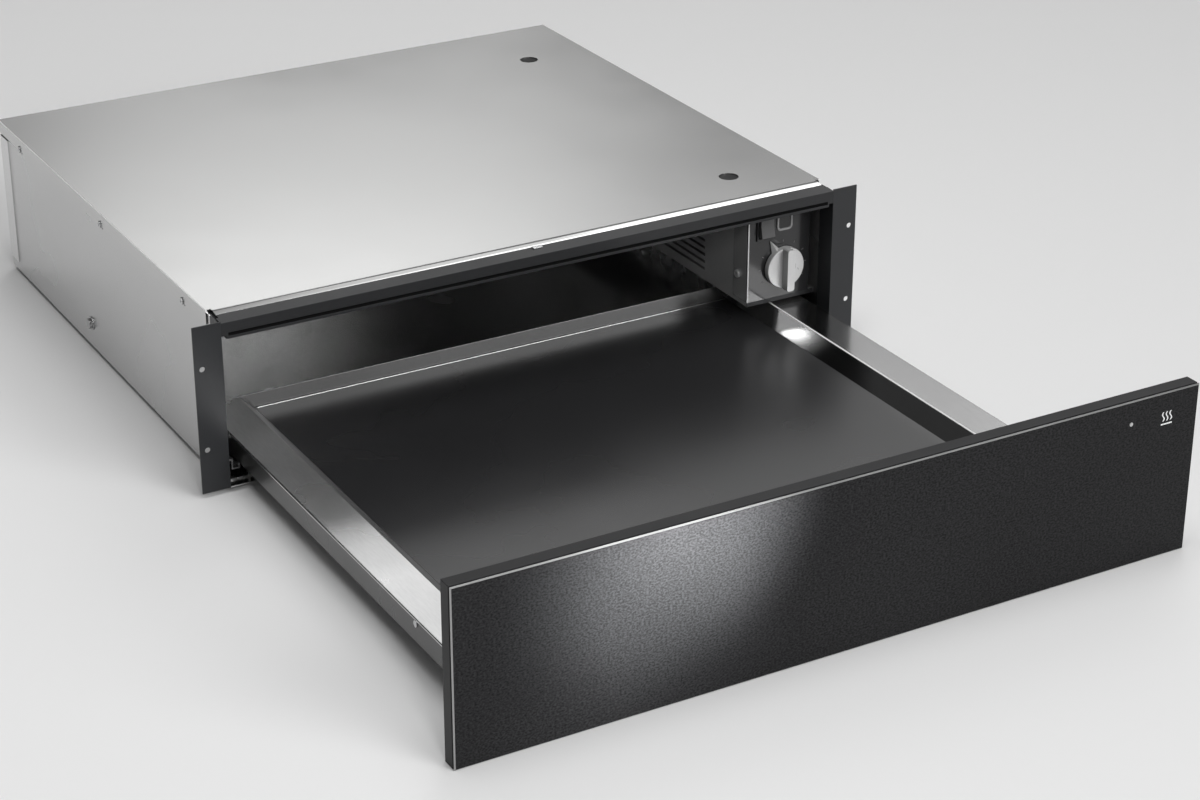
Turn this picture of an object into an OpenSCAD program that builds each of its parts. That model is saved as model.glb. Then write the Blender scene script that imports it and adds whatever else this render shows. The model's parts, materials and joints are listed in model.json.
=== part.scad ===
// Built-in warming drawer for a 60 cm by 14 cm niche, drawn with the drawer pulled out.
// X runs to the right, Y to the back and Z up. The origin is the middle of the base,
// under the back face of the mounting flanges.

/* [Front panel] */
// Width of the drawer front
panel_w = 594; // [592:1:600]
// Height of the drawer front
panel_h = 132.8; // [128:0.2:134]
// How far the drawer front hangs below the base
panel_drop = 3.9; // [2:0.1:6]
// Thickness of the front plate
plate_t = 1.2; // [1.2:0.1:1.6]
// Bright bevel round the front plate
plate_bevel = 0.9; // [0.5:0.1:1]
// Dark joint between the front plate and its carrier
seal_t = 1.4; // [1:0.1:2]
// How far the dark joint lies back from the edges
seal_inset = 1.2; // [0.6:0.1:3]
// Depth of the carrier behind the joint
carrier_t = 10.9; // [8:0.1:14]
// Gap between the closed front and the mounting flanges
front_gap = 2.4; // [2:0.1:4]
// Distance of the indicator from the right edge of the front
lens_edge = 60.2; // [50:0.1:90]
// Distance of the symbol from the right edge of the front
symbol_edge = 28; // [20:0.5:40]
// Height of the front marks under the top edge of the front
marks_down = 20; // [16:0.5:30]

/* [Housing] */
// Width of the housing over its covers
case_w = 548; // [546:1:550]
// Height of the housing
case_h = 138.1; // [137:0.1:142]
// Depth of the housing behind the niche front
case_d = 505.1; // [500:0.1:540]
// Thickness of all housing sheets
sheet_t = 1; // [0.8:0.1:1.2]
// How far the folded edge of the top cover comes down the sides
cover_lap = 11.7; // [10:0.1:14]
// Height of the front top rail
rail_face_h = 15.5; // [14:0.1:18]
// Width of a mounting flange
flange_w = 23; // [20:0.5:25]
// Distance of the niche screws from the outer edge of their flange
niche_edge = 6.3; // [5:0.1:8]
// Distance between the niche screws in height
niche_pitch_z = 66.7; // [50:0.1:80]
// Diameter of the niche screw holes
niche_hole_d = 4.5; // [4:0.1:5]
// Diameter of the round holes in the top cover
top_hole_d = 16.6; // [12:0.1:20]
// Distance of the round holes from the middle
top_hole_x = 211.7; // [180:0.1:225]
// Distance of the front round hole behind the niche front
top_hole_y = 66; // [50:1:100]
// Distance between the round holes
top_hole_pitch = 351.8; // [300:0.1:380]

/* [Drawer] */
// How far the drawer is pulled out
travel = 408; // [380:1:410]
// Width between the foot lines of the sloped flanks
tray_w = 436.4; // [420:0.2:440]
// Height of the flat rails above the base
rail_z = 33.7; // [33:0.1:34.5]
// Height of the mat above the base
mat_z = 22; // [21.5:0.1:22.4]
// Thickness of the mat
mat_t = 2; // [1.5:0.1:2.4]
// Overall width over the outer rail flanges
drawer_w = 523.4; // [522:0.2:524]
// How far the flank leans outwards
flank_run = 12.9; // [11:0.1:14]
// Depth of the outer rail flange
rail_flange_h = 18.1; // [14:0.1:18.5]
// Height of the back wall above the flat rails
back_rise = 0.8; // [0.5:0.1:1.5]
// Length of the drawer sides behind the front
drawer_l = 488.4; // [480:0.1:489]

/* [Runners] */
// Width over the two legs of a runner
runner_w = 16; // [15.6:0.1:16.4]
// Distance of the runner's middle line from the middle
runner_x = 246; // [245.6:0.1:246.4]
// Sheet thickness of the runners
runner_t = 1.4; // [1.2:0.1:1.5]
// Ball diameter
ball_d = 3; // [2.6:0.1:3]
// Length of the cabinet runner
runner_l = 470; // [460:1:474]
// Length of the middle runner
middle_l = 440; // [420:1:450]
// Length of the drawer runner
slide_l = 458; // [440:1:460]
// Length of a ball cage
cage_l = 200; // [160:1:220]

/* [Controls] */
// Left face of the duct wall and the control panel
duct_x = 206; // [200:0.5:207]
// Distance of the control panel behind the niche front
control_y = 23.1; // [22.5:0.1:26]
// Width of the control panel
control_w = 60; // [58:0.5:62]
// Lower edge of the control panel
control_z = 40.4; // [39:0.1:42]
// Distance of the knob from the left edge of the control panel
knob_dx = 33.5; // [32:0.1:35]
// Height of the knob above the base
knob_z = 67.4; // [66:0.1:70]
// Diameter of the knob's disc
knob_d = 36; // [32:0.5:38]
// Length of the knob's grip bar
grip_l = 37.4; // [34:0.1:39]
// Width of the knob's grip bar
grip_w = 7.4; // [7:0.1:10]
// Radius of the tip of the knob's pointer
pointer_r = 28.2; // [22:0.1:28.4]
// Angle of the pointer, turned left from straight up
pointer_turn = 28; // [0:1:60]
// Diameter of the thermostat's shaft
shaft_d = 6; // [6:0.1:6.4]
// Width of the rocker switch
switch_w = 16.4; // [15:0.1:17]
// Height of the rocker switch
switch_h = 25.5; // [24:0.1:27]
// Size of the pilot lamp's frame
lamp_w = 15.3; // [14:0.1:16]
// Length of a louvre slot
slot_l = 120; // [80:1:130]
// Distance between louvre slots
slot_pitch = 6.5; // [6.2:0.1:7]

/* [Heater and fan] */
// Diameter of the heating rod
rod_d = 6.5; // [6:0.1:8]
// Length of the heating rod's straight runs
rod_length = 90; // [60:1:95]
// Diameter of the fan wheel
fan_d = 64; // [56:1:66]
// Width of the fan wheel
fan_w = 22; // [18:0.5:24]
// Distance of the fan behind the niche front
fan_y = 330; // [320:1:340]
// Diameter of the cable entry's bore
gland_bore_d = 7; // [6:0.1:8]

/* [Hidden] */

quarter = 90;
half = 180;
over = 0.5;
// Gap between pieces that lie near each other, and the radial gap of a running fit
seat = 0.3;
fit = 0.05;

// Places that follow from the housing
case_x = case_w / 2;
side_x = case_x - sheet_t;
bay_x = side_x - sheet_t;
under_cover_z = case_h - sheet_t;
open_z = case_h - rail_face_h;
rail_arris_drop = 2;
rail_back_drop = 1.1;
rail_depth = 14.7;
groove_rise = 3.7;
groove_z = open_z + groove_rise;
groove_r = 1.3;
groove_end = 5.6;
groove_x = bay_x - groove_end;
rail_step = 2.8;
rail_end_step = 4;
rail_tab = 14;
rail_tab_drop = 0.4;
cover_curve = 8;
corner_cut_x = 4.2;
corner_cut_y0 = 8.5;
corner_cut_y1 = 23.7;
corner_cut_drop = 1.7;
return_l = 18;
flange_h = 137.3;
flange_x = bay_x + flange_w;
niche_x = flange_x - niche_edge;
niche_z = 69.05;
rear_lap = 20.1;
rear_lap_z0 = 9;
rear_lap_z1 = 124;
lug_r = 4.4;
lug_drop = 0.6;
cover_screw_front = 72;
cover_screw_back = 54.1;
cover_screw_mid_share = 0.472;
cover_screw_run = case_d - cover_screw_back - cover_screw_front;
cover_screw_ys = [cover_screw_front, cover_screw_front + cover_screw_mid_share * cover_screw_run,
  cover_screw_front + cover_screw_run];
cover_screw_d = 6;
cover_screw_h = 1.2;
cover_screw_core_d = 2.9;
cover_screw_l = 4;
cover_screw_z = case_h - cover_lap + cover_screw_core_d / 2 - lug_drop;
roof_rise = 0.9;
roof_z = open_z + roof_rise;
roof_y0 = 20;
roof_end = 5.1;
roof_turn = 12;
fleece_inset = 2.2;
fleece_y0 = 34;
fleece_well = 14;

// Places that follow from the drawer
panel_t = plate_t + seal_t + carrier_t;
panel_back_y = -sheet_t - front_gap - travel;
panel_y = panel_back_y - panel_t;
panel_z0 = -panel_drop;
panel_z1 = panel_h - panel_drop;
marks_z = panel_z1 - marks_down;
lens_x = panel_w / 2 - lens_edge;
symbol_x = panel_w / 2 - symbol_edge;
drawer_end_y = panel_back_y + drawer_l;
tray_x = tray_w / 2;
flank_rise = rail_z - mat_z;
flank_out = flank_run / flank_rise;
flank_skew = norm([flank_run, flank_rise]) / flank_rise;
tray_z = mat_z - mat_t - sheet_t;
foot_l = 16;
drawer_x = drawer_w / 2;
rail_flange_z = rail_z - rail_flange_h;
carrier_wall = 1.2;
lens_d = 3;
lens_head_d = 3.6;
lens_proud = 0.3;

// Runner section
runner_y0 = 8;
leg_in = runner_x - runner_w / 2;
leg_out = runner_x + runner_w / 2;
race_w = ball_d + 2 * seat;
bar_in = leg_in + runner_t + race_w;
bar_out = leg_out - runner_t - race_w;
bar_h = 6.2;
lower_bar_z = 3.8;
upper_bar_z = 22;
middle_web = 1.4;
runner_floor = 1.4;
runner_leg_z = 11;
runner_web_z = 19;
hook_x = 4.8;
hook_z = 10;
hook_t = 1.2;
hook_up = 4.6;
slide_leg_z = 20.5;
middle_y0 = 20;
slide_y0 = 20;
cage_y0 = 140;
cage_t = 0.8;
cage_bridge = 0.6;
cage_hole_gap = 0.2;
balls = 6;
bolt_y = 296.5;
bolt_z = 21.6;
bolt_key = 8;
bolt_h = 2.6;
washer_d = 12;
washer_t = 0.8;
bolt_core_d = 4.9;
bolt_core_gap = 0.15;
bolt_lug_l = 24;
bolt_lug_h = 27;

// Duct and controls
duct_rise = 2.5;
duct_z = rail_z + duct_rise;
duct_back = 5.1;
duct_y1 = case_d - duct_back;
control_t = 1.2;
control_return = 21.9;
control_z1 = roof_z - seat;
control_x1 = duct_x + control_w;
knob_x = duct_x + knob_dx;
control_screw_dy = 14.3;
control_screw_z = 62.5;
control_screw_d = 7.2;
control_screw_h = 2.4;
control_screw_core_d = 3.4;
control_screw_l = 9;
knob_gap = 1;
disc_t = 5;
grip_h = 8;
pointer_w = 7;
knob_wall = 2;
stat_d = 32;
stat_l = 18;
stat_flange_w = 44;
stat_flange_t = 1.2;
bush_d = 10;
bush_gap = 0.2;
switch_dx = 15.1;
switch_x = duct_x + switch_dx;
switch_z = 107.2;
switch_bezel = 1.5;
switch_rim = 1.6;
switch_body = 20;
switch_body_wall = 1.4;
rocker_tilt = 6;
rocker_pivot = 4;
rocker_nose = 5;
rocker_r = 7;
rocker_pin_r = 1.2;
lamp_dx = 34.2;
lamp_x = duct_x + lamp_dx;
lamp_z = 108.3;
lamp_h = 17.4;
lamp_proud = 1.2;
lamp_round = 4;
lamp_rim = 2;
lamp_body = 14;
slot_h = 2.6;
slot_y0 = 92;
slot_z0 = 46.1;
slots = 8;
blade_out = 3.4;
blade_t = 0.7;

// Fan, heater and inlet
fan_z = 80;
inlet_d = 50;
shell_gap = 5;
shell_t = 1;
shell_x0 = duct_x + sheet_t;
shell_w = 33;
outlet_l = 62;
outlet_h = 34;
wheel_gap = 5;
wheel_x0 = shell_x0 + wheel_gap;
wheel_plate = 1.6;
wheel_ring = 5;
blades = 12;
vane_depth = 9;
hub_d = 12;
spindle_d = 4;
stack_gap = 8;
stack_x0 = shell_x0 + shell_w + stack_gap;
stack_w = 12;
stack_l = 52;
stack_h = 46;
rotor_d = 22;
air_gap = 0.5;
coil_h = 14;
coil_wall = 5;
yoke_h = 7;
bridge_w = 12;
bridge_t = 1.2;
bridge_gap = 3;
rod_x0 = 224;
rod_pitch = 27;
rod_y0 = 104;
rod_z = 52;
rod_rise = 44;
rod_lead = 12;
rod_lead_d = 4;
clamp_w = 6;
cutout_y = 250;
cutout_z = 104;
cutout_d = 16;
cutout_h = 8;
cutout_plate = 24;
cutout_plate_t = 0.8;
block_x0 = 222;
block_w = 34;
block_back = 34;
block_l = 22;
block_y0 = duct_y1 - block_back - block_l;
block_h = 18;
block_holes = 3;
block_hole_d = 4;
gland_x = 240;
gland_z = 62;
gland_d = 14;
gland_flange_d = 20;
gland_in = 9;
gland_out = 2.5;

// Touch latch
latch_y0 = 425;
latch_l = 53;
latch_w = 24;
latch_h = 14;
latch_z = 8;
pin_d = 6;
pin_out = 20;
pin_l = 50;
push = 4;
striker_w = 24;
striker_t = 1.2;
striker_l = 34;

// Small front pieces
bumper_d = 8;
bumper_gap = 0.3;
bumper_edge = 13;
bracket_w = 15;
bracket_t = 2;
bracket_z0 = 15;
rivet_ys = [25, -300];
rivet_d = 5;
rivet_core_d = 3;
rivet_drop = 3.6;
rivet_h = 0.8;
clip_w = 8;
clip_l = 4.4;
clip_h = 0.8;
clip_y = 9;
symbol_w = 10;
symbol_h = 12;
symbol_t = 0.2;
symbol_line = 1;
symbol_steps = 12;

// Places that follow from the sizes above
cover_r = 30;
cover_y = rail_depth - sheet_t + cover_curve;
rail_y0 = -sheet_t;
rail_top_y = rail_y0 + rail_depth - seat;
rail_arris_z = case_h - rail_arris_drop;
rail_back_z = case_h - rail_back_drop;
rail_tab_z = rail_back_z - sheet_t - rail_tab_drop;
stat_y = control_y + control_t;
shaft_in = stat_flange_t + stat_l / 2;
shaft_y0 = control_y - knob_gap - disc_t - grip_h + knob_wall;
disc_y = control_y - knob_gap - disc_t;
switch_body_x = switch_w / 2 - switch_rim / 2;
switch_body_z = switch_h / 2 - switch_rim / 2;
switch_hole_x = switch_w / 2 - switch_rim;
switch_hole_z = switch_h / 2 - switch_rim;
pivot_y = control_y + rocker_pivot;
rocker_x = switch_hole_x - seat;
rocker_z = switch_hole_z - 4 * seat;
shell_r = fan_d / 2 + shell_gap;
bridge_x0 = stack_x0 - bridge_gap - bridge_t;
bridge_x1 = stack_x0 + stack_w + bridge_gap;
stack_z0 = fan_z - stack_h / 2 - coil_h;
post_y = stack_l / 2 - yoke_h / 2;
rod_x1 = rod_x0 + rod_pitch;
rod_y1 = rod_y0 + rod_length;
rod_r = rod_pitch / 2;
web_x = bay_x - runner_t;
hook_x1 = web_x - hook_x;
upstand_x = drawer_x - hook_t;
clip_z0 = rail_back_z;
lens_rise = 2.1;
seal_y = panel_y + plate_t;
carrier_y = seal_y + seal_t;
lens_z = marks_z + lens_rise;
wave_share = 0.09;
wave_foot_share = 0.3;
wave_top_share = 0.6;
bar_foot_share = 0.06;
tray_base_x = tray_x - flank_out * (mat_z - tray_z) - seat;
foot_z = tray_z - sheet_t;
foot_x = tray_x - flank_out * (mat_z - foot_z);
flank_x = tray_x + flank_run;
back_top_z = rail_z + back_rise;
back_foot_x = foot_x - foot_l - seat;
slide_top_z = rail_z - sheet_t;
striker_y = latch_y0 - pin_out - travel - seat;

module box(x0, x1, y0, y1, z0, z1)
  translate([x0, y0, z0]) cube([x1 - x0, y1 - y0, z1 - z0]);

// The outline's first coordinate becomes X and its second Z
module along_y(y0, y1)
  translate([0, y1, 0]) rotate([quarter, 0, 0]) linear_extrude(height = y1 - y0) children();

// The outline's first coordinate becomes Y and its second Z
module along_x(x0, x1)
  translate([x0, 0, 0]) rotate([quarter, 0, quarter]) linear_extrude(height = x1 - x0) children();

module rod_along_y(x, z, y0, y1, d)
  translate([x, y1, z]) rotate([quarter, 0, 0]) cylinder(h = y1 - y0, d = d, $fn = 48);

module rod_along_x(y, z, x0, x1, d)
  translate([x0, y, z]) rotate([0, quarter, 0]) cylinder(h = x1 - x0, d = d, $fn = 48);

module rod_along_z(x, y, z0, z1, d)
  translate([x, y, z0]) cylinder(h = z1 - z0, d = d, $fn = 48);

module to_left() mirror([1, 0, 0]) children();

module both_sides() {
  children();
  to_left() children();
}

module base_pan()
  color("dimgray") {
    box(-bay_x, bay_x, -sheet_t, case_d - sheet_t, 0, sheet_t);
  }

module cover_lugs(x0, x1)
  for (y = cover_screw_ys)
    rod_along_x(y, cover_screw_z, x0, x1, 2 * lug_r);

module side_panel()
  difference() {
    box(bay_x, side_x, return_l, case_d - sheet_t, 0, under_cover_z);
    box(bay_x - over, side_x + over, return_l - over, corner_cut_y1,
      under_cover_z - corner_cut_drop, case_h);
    for (y = cover_screw_ys)
      rod_along_x(y, cover_screw_z, bay_x - over, side_x + over, cover_screw_core_d + bolt_core_gap);
    rod_along_x(bolt_y, bolt_z, bay_x - over, side_x + over, bolt_core_d + 2 * bolt_core_gap);
  }

module side_panel_left() color("silver") to_left() side_panel();
module side_panel_right() color("silver") side_panel();

module rear_panel()
  color("silver") difference() {
    union() {
      box(-side_x, side_x, case_d - sheet_t, case_d, 0, under_cover_z);
      both_sides() box(side_x, case_x, case_d - rear_lap, case_d, rear_lap_z0, rear_lap_z1);
    }
    rod_along_y(gland_x, gland_z, case_d - sheet_t - over, case_d + over, gland_d);
  }

module cover_edge()
  intersection() {
    translate([cover_curve + rail_depth - sheet_t, case_h - cover_r])
      difference() {
        circle(r = cover_r, $fn = 96);
        circle(r = cover_r - sheet_t, $fn = 96);
      }
    translate([rail_depth - sheet_t, case_h - cover_r / 2]) square([cover_curve, cover_r]);
  }

module top_cover()
  color("silver") difference() {
    union() {
      box(-case_x, case_x, cover_y, case_d, under_cover_z, case_h);
      along_x(-case_x, case_x) cover_edge();
      both_sides() box(side_x, case_x, corner_cut_y1, case_d, case_h - cover_lap, under_cover_z);
      both_sides() intersection() {
        cover_lugs(side_x, case_x);
        box(side_x, case_x, 0, case_d, 0, case_h - cover_lap);
      }
    }
    both_sides() box(case_x - corner_cut_x, case_x + over, corner_cut_y0, corner_cut_y1,
      under_cover_z - cover_curve, case_h + over);
    both_sides() for (y = cover_screw_ys)
      rod_along_x(y, cover_screw_z, side_x - over, case_x + over, cover_screw_core_d + bolt_core_gap);
    for (y = [top_hole_y, top_hole_y + top_hole_pitch])
      rod_along_z(top_hole_x, y, under_cover_z - over, case_h + over, top_hole_d);
  }

module rail_outline() {
  polygon([[rail_y0, open_z], [rail_y0, rail_arris_z], [rail_top_y, rail_back_z],
    [rail_top_y, rail_tab_z], [rail_top_y - sheet_t, rail_tab_z],
    [rail_top_y - sheet_t, rail_back_z - sheet_t], [0, rail_arris_z - sheet_t],
    [0, open_z + sheet_t], [roof_y0 - seat, open_z + sheet_t], [roof_y0 - seat, open_z]]);
  translate([rail_top_y - sheet_t, rail_tab_z - sheet_t]) square([rail_tab, sheet_t]);
}

module front_top_rail()
  color("#34363a") difference() {
    union() {
      along_x(-bay_x, bay_x) rail_outline();
      box(-groove_x, groove_x, 0, groove_r, groove_z - groove_r, groove_z + groove_r);
    }
    rod_along_x(rail_y0, groove_z, -groove_x, groove_x, 2 * groove_r);
    both_sides() box(bay_x - rail_end_step, bay_x + over, rail_y0 - over, roof_y0,
      open_z - over, open_z + rail_step);
    both_sides() box(case_x - corner_cut_x, case_x, corner_cut_y0, corner_cut_y1 + rail_tab,
      rail_tab_z - over, case_h);
  }

module flange()
  difference() {
    union() {
      box(bay_x, flange_x, -sheet_t, 0, 0, flange_h);
      box(bay_x, side_x, 0, return_l, 0, flange_h - corner_cut_drop);
    }
    for (z = [niche_z - niche_pitch_z / 2, niche_z + niche_pitch_z / 2])
      rod_along_y(niche_x, z, -sheet_t - over, over, niche_hole_d);
  }

module flange_left() color("#3a3b3f") to_left() flange();
module flange_right() color("#3a3b3f") flange();

module inner_roof()
  color("gray") difference() {
    union() {
      box(-bay_x, bay_x, roof_y0, case_d - roof_end, roof_z, roof_z + sheet_t);
      both_sides() box(bay_x - sheet_t, bay_x, fleece_y0, case_d - roof_end,
        roof_z + sheet_t, roof_z + roof_turn);
    }
    both_sides() for (y = cover_screw_ys)
      rod_along_x(y, cover_screw_z, bay_x - sheet_t - over, bay_x + over,
        cover_screw_core_d + bolt_core_gap);
  }

module roof_insulation()
  color("khaki") difference() {
    box(-bay_x + fleece_inset, bay_x - fleece_inset, fleece_y0, case_d - roof_end,
      roof_z + sheet_t + seat, under_cover_z - seat);
    for (y = [top_hole_y, top_hole_y + top_hole_pitch])
      rod_along_z(top_hole_x, y, roof_z + sheet_t - over, case_h, top_hole_d + fleece_well);
  }

module louvre_blade(z)
  along_y(slot_y0, slot_y0 + slot_l)
    polygon([[duct_x + sheet_t / 2, z + slot_h / 2], [duct_x + sheet_t / 2, z + slot_h / 2 + blade_t],
      [duct_x + blade_out, z - slot_h / 2 + blade_t], [duct_x + blade_out, z - slot_h / 2]]);

module duct_wall()
  color("silver") union() {
    difference() {
      union() {
        box(duct_x, duct_x + sheet_t, control_y + control_t + seat, duct_y1, duct_z, roof_z);
        box(duct_x + sheet_t, bay_x, control_y + control_t + seat, duct_y1, duct_z, duct_z + sheet_t);
      }
      for (i = [0 : slots - 1])
        box(duct_x - over, duct_x + sheet_t + over, slot_y0, slot_y0 + slot_l,
          slot_z0 + i * slot_pitch - slot_h / 2, slot_z0 + i * slot_pitch + slot_h / 2);
      rod_along_x(fan_y, fan_z, duct_x - over, duct_x + sheet_t + over, inlet_d);
      rod_along_x(control_y + control_screw_dy, control_screw_z, duct_x - over,
        duct_x + sheet_t + over, control_screw_core_d + bolt_core_gap);
    }
    for (i = [0 : slots - 1])
      louvre_blade(slot_z0 + i * slot_pitch);
  }

module lamp_outline(grow)
  offset_square(lamp_w + 2 * grow, lamp_h + 2 * grow, lamp_round + grow);

module offset_square(w, h, r)
  union() {
    square([w - 2 * r, h], center = true);
    square([w, h - 2 * r], center = true);
    for (x = [-1, 1])
      for (y = [-1, 1])
        translate([x * (w / 2 - r), y * (h / 2 - r)]) circle(r = r, $fn = 48);
  }

module control_panel()
  color("#2d2f33") difference() {
    union() {
      box(duct_x - sheet_t, control_x1, control_y, control_y + control_t, control_z, control_z1);
      box(duct_x - sheet_t, duct_x, control_y + control_t, control_y + control_return,
        control_z, control_z1);
      box(control_x1 - sheet_t, control_x1, control_y + control_t, control_y + control_return,
        control_z, control_z1);
    }
    rod_along_y(knob_x, knob_z, control_y - over, control_y + control_t + over, bush_d);
    box(switch_x - switch_body_x, switch_x + switch_body_x, control_y - over,
      control_y + control_t + over, switch_z - switch_body_z, switch_z + switch_body_z);
    along_y(control_y - over, control_y + control_t + over)
      translate([lamp_x, lamp_z]) lamp_outline(-lamp_rim / 2);
    rod_along_x(control_y + control_screw_dy, control_screw_z, duct_x - sheet_t - over,
      duct_x + over, control_screw_core_d + bolt_core_gap);
  }

module thermostat_body()
  color("lightgray") difference() {
    union() {
      box(knob_x - stat_flange_w / 2, knob_x + stat_flange_w / 2, stat_y, stat_y + stat_flange_t,
        knob_z - bush_d, knob_z + bush_d);
      rod_along_y(knob_x, knob_z, stat_y + stat_flange_t, stat_y + stat_flange_t + stat_l, stat_d);
      rod_along_y(knob_x, knob_z, control_y + bush_gap, stat_y, bush_d - 2 * bush_gap);
    }
    rod_along_y(knob_x, knob_z, control_y - over, stat_y + shaft_in + seat, shaft_d + 2 * fit);
  }

module thermostat_shaft()
  color("silver") rod_along_y(knob_x, knob_z, shaft_y0 + fit, stat_y + shaft_in, shaft_d);

module temperature_knob()
  color("lightgray") difference() {
    union() {
      rod_along_y(knob_x, knob_z, disc_y, disc_y + disc_t, knob_d);
      along_y(disc_y - grip_h, disc_y) translate([knob_x, knob_z]) grip_outline();
      along_y(disc_y, disc_y + disc_t) translate([knob_x, knob_z]) rotate(pointer_turn)
        polygon([[-pointer_w / 2, 0], [pointer_w / 2, 0], [pointer_w / 2, knob_d / 2],
          [0, pointer_r], [-pointer_w / 2, knob_d / 2]]);
    }
    rod_along_y(knob_x, knob_z, shaft_y0, disc_y + disc_t + over, shaft_d + 2 * fit);
  }

module grip_outline()
  intersection() {
    circle(r = grip_l / 2, $fn = 96);
    offset_square(grip_w, grip_l, grip_w / 4);
  }

module switch_housing()
  color("#1b1c1e") difference() {
    union() {
      box(switch_x - switch_w / 2, switch_x + switch_w / 2, control_y - switch_bezel, control_y,
        switch_z - switch_h / 2, switch_z + switch_h / 2);
      box(switch_x - switch_body_x + seat, switch_x + switch_body_x - seat, control_y,
        control_y + switch_body, switch_z - switch_body_z + seat, switch_z + switch_body_z - seat);
    }
    box(switch_x - switch_hole_x, switch_x + switch_hole_x, control_y - switch_bezel - over,
      control_y + switch_body - switch_body_wall, switch_z - switch_hole_z, switch_z + switch_hole_z);
    rod_along_x(pivot_y, switch_z, switch_x - switch_w / 2 + switch_rim / 2,
      switch_x + switch_w / 2 - switch_rim / 2, 2 * (rocker_pin_r + fit));
  }

module switch_rocker()
  color("#222326") translate([0, pivot_y, switch_z]) rotate([-rocker_tilt, 0, 0]) union() {
    along_x(switch_x - rocker_x, switch_x + rocker_x)
      polygon([[-rocker_r - rocker_nose / 4, 0], [-rocker_r - rocker_nose / 2, rocker_z],
        [-rocker_nose / 2, rocker_z], [rocker_nose / 2, rocker_z / 2],
        [rocker_nose / 2, -rocker_z / 2], [-rocker_nose / 2, -rocker_z],
        [-rocker_r - rocker_nose / 2, -rocker_z]]);
    rod_along_x(0, 0, switch_x - switch_hole_x - switch_rim / 2 + seat,
      switch_x + switch_hole_x + switch_rim / 2 - seat, 2 * rocker_pin_r);
  }

module lamp_bezel()
  color("#222326") difference() {
    union() {
      along_y(control_y - lamp_proud, control_y) translate([lamp_x, lamp_z]) lamp_outline(0);
      along_y(control_y, control_y + lamp_body) translate([lamp_x, lamp_z])
        lamp_outline(-lamp_rim / 2 - seat);
    }
    along_y(control_y - lamp_proud - over, control_y + lamp_body - lamp_rim)
      translate([lamp_x, lamp_z]) lamp_outline(-lamp_rim);
  }

module lamp_lens()
  color("darkorange") along_y(control_y - lamp_proud / 2, control_y + lamp_body - lamp_rim - seat)
    translate([lamp_x, lamp_z]) lamp_outline(-lamp_rim - seat);

module blower_housing()
  color("silver") difference() {
    union() {
      rod_along_x(fan_y, fan_z, shell_x0, shell_x0 + shell_w, 2 * shell_r + 2 * shell_t);
      box(shell_x0, shell_x0 + shell_w, fan_y - outlet_l, fan_y, fan_z - shell_r - shell_t,
        fan_z - shell_r - shell_t + outlet_h);
    }
    rod_along_x(fan_y, fan_z, shell_x0 + shell_t, shell_x0 + shell_w - shell_t, 2 * shell_r);
    box(shell_x0 + shell_t, shell_x0 + shell_w - shell_t, fan_y - outlet_l - over, fan_y,
      fan_z - shell_r, fan_z - shell_r + outlet_h - 2 * shell_t);
    rod_along_x(fan_y, fan_z, shell_x0 - over, shell_x0 + shell_t + over, inlet_d);
    rod_along_x(fan_y, fan_z, shell_x0 + shell_w - 2 * shell_t, shell_x0 + shell_w + over, hub_d);
  }

module fan_wheel()
  color("gainsboro") difference() {
    union() {
      rod_along_x(fan_y, fan_z, wheel_x0 + fan_w - wheel_plate, wheel_x0 + fan_w, fan_d);
      difference() {
        rod_along_x(fan_y, fan_z, wheel_x0, wheel_x0 + wheel_plate, fan_d);
        rod_along_x(fan_y, fan_z, wheel_x0 - over, wheel_x0 + wheel_plate + over,
          fan_d - 2 * wheel_ring - 2 * vane_depth);
      }
      rod_along_x(fan_y, fan_z, wheel_x0 + fan_w / 2, wheel_x0 + fan_w - wheel_plate, hub_d);
      for (i = [0 : blades - 1])
        translate([0, fan_y, fan_z]) rotate([i * 2 * half / blades, 0, 0])
          box(wheel_x0 + wheel_plate, wheel_x0 + fan_w - wheel_plate,
            fan_d / 2 - wheel_ring - vane_depth, fan_d / 2 - wheel_ring / 2, 0, wheel_plate);
    }
    rod_along_x(fan_y, fan_z, wheel_x0 + fan_w / 2 - over, wheel_x0 + fan_w + over,
      spindle_d + 2 * fit);
  }

module fan_rotor()
  color("slategray") union() {
    rod_along_x(fan_y, fan_z, wheel_x0 + fan_w / 2, bridge_x1 + bridge_t + seat, spindle_d);
    rod_along_x(fan_y, fan_z, stack_x0 - seat, stack_x0 + stack_w + seat, rotor_d);
  }

module motor_stator()
  color("gray") union() {
    difference() {
      box(stack_x0, stack_x0 + stack_w, fan_y - stack_l / 2, fan_y + stack_l / 2,
        fan_z - stack_h / 2, fan_z + stack_h / 2);
      rod_along_x(fan_y, fan_z, stack_x0 - over, stack_x0 + stack_w + over, rotor_d + 2 * air_gap);
    }
    box(stack_x0, stack_x0 + stack_w, fan_y - stack_l / 2, fan_y - stack_l / 2 + yoke_h,
      stack_z0, fan_z - stack_h / 2);
    box(stack_x0, stack_x0 + stack_w, fan_y + stack_l / 2 - yoke_h, fan_y + stack_l / 2,
      stack_z0, fan_z - stack_h / 2);
    box(stack_x0 - coil_wall / 2, stack_x0 + stack_w + coil_wall / 2, fan_y - stack_l / 2 + yoke_h,
      fan_y + stack_l / 2 - yoke_h, stack_z0, fan_z - stack_h / 2);
  }

module motor_bridge(x0)
  difference() {
    union() {
      box(x0, x0 + bridge_t, fan_y - stack_l / 2, fan_y + stack_l / 2,
        fan_z - bridge_w / 2, fan_z + bridge_w / 2);
      rod_along_x(fan_y, fan_z, x0, x0 + bridge_t, bridge_w + 2 * bridge_t);
    }
    rod_along_x(fan_y, fan_z, x0 - over, x0 + bridge_t + over, spindle_d + 2 * fit);
  }

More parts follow.
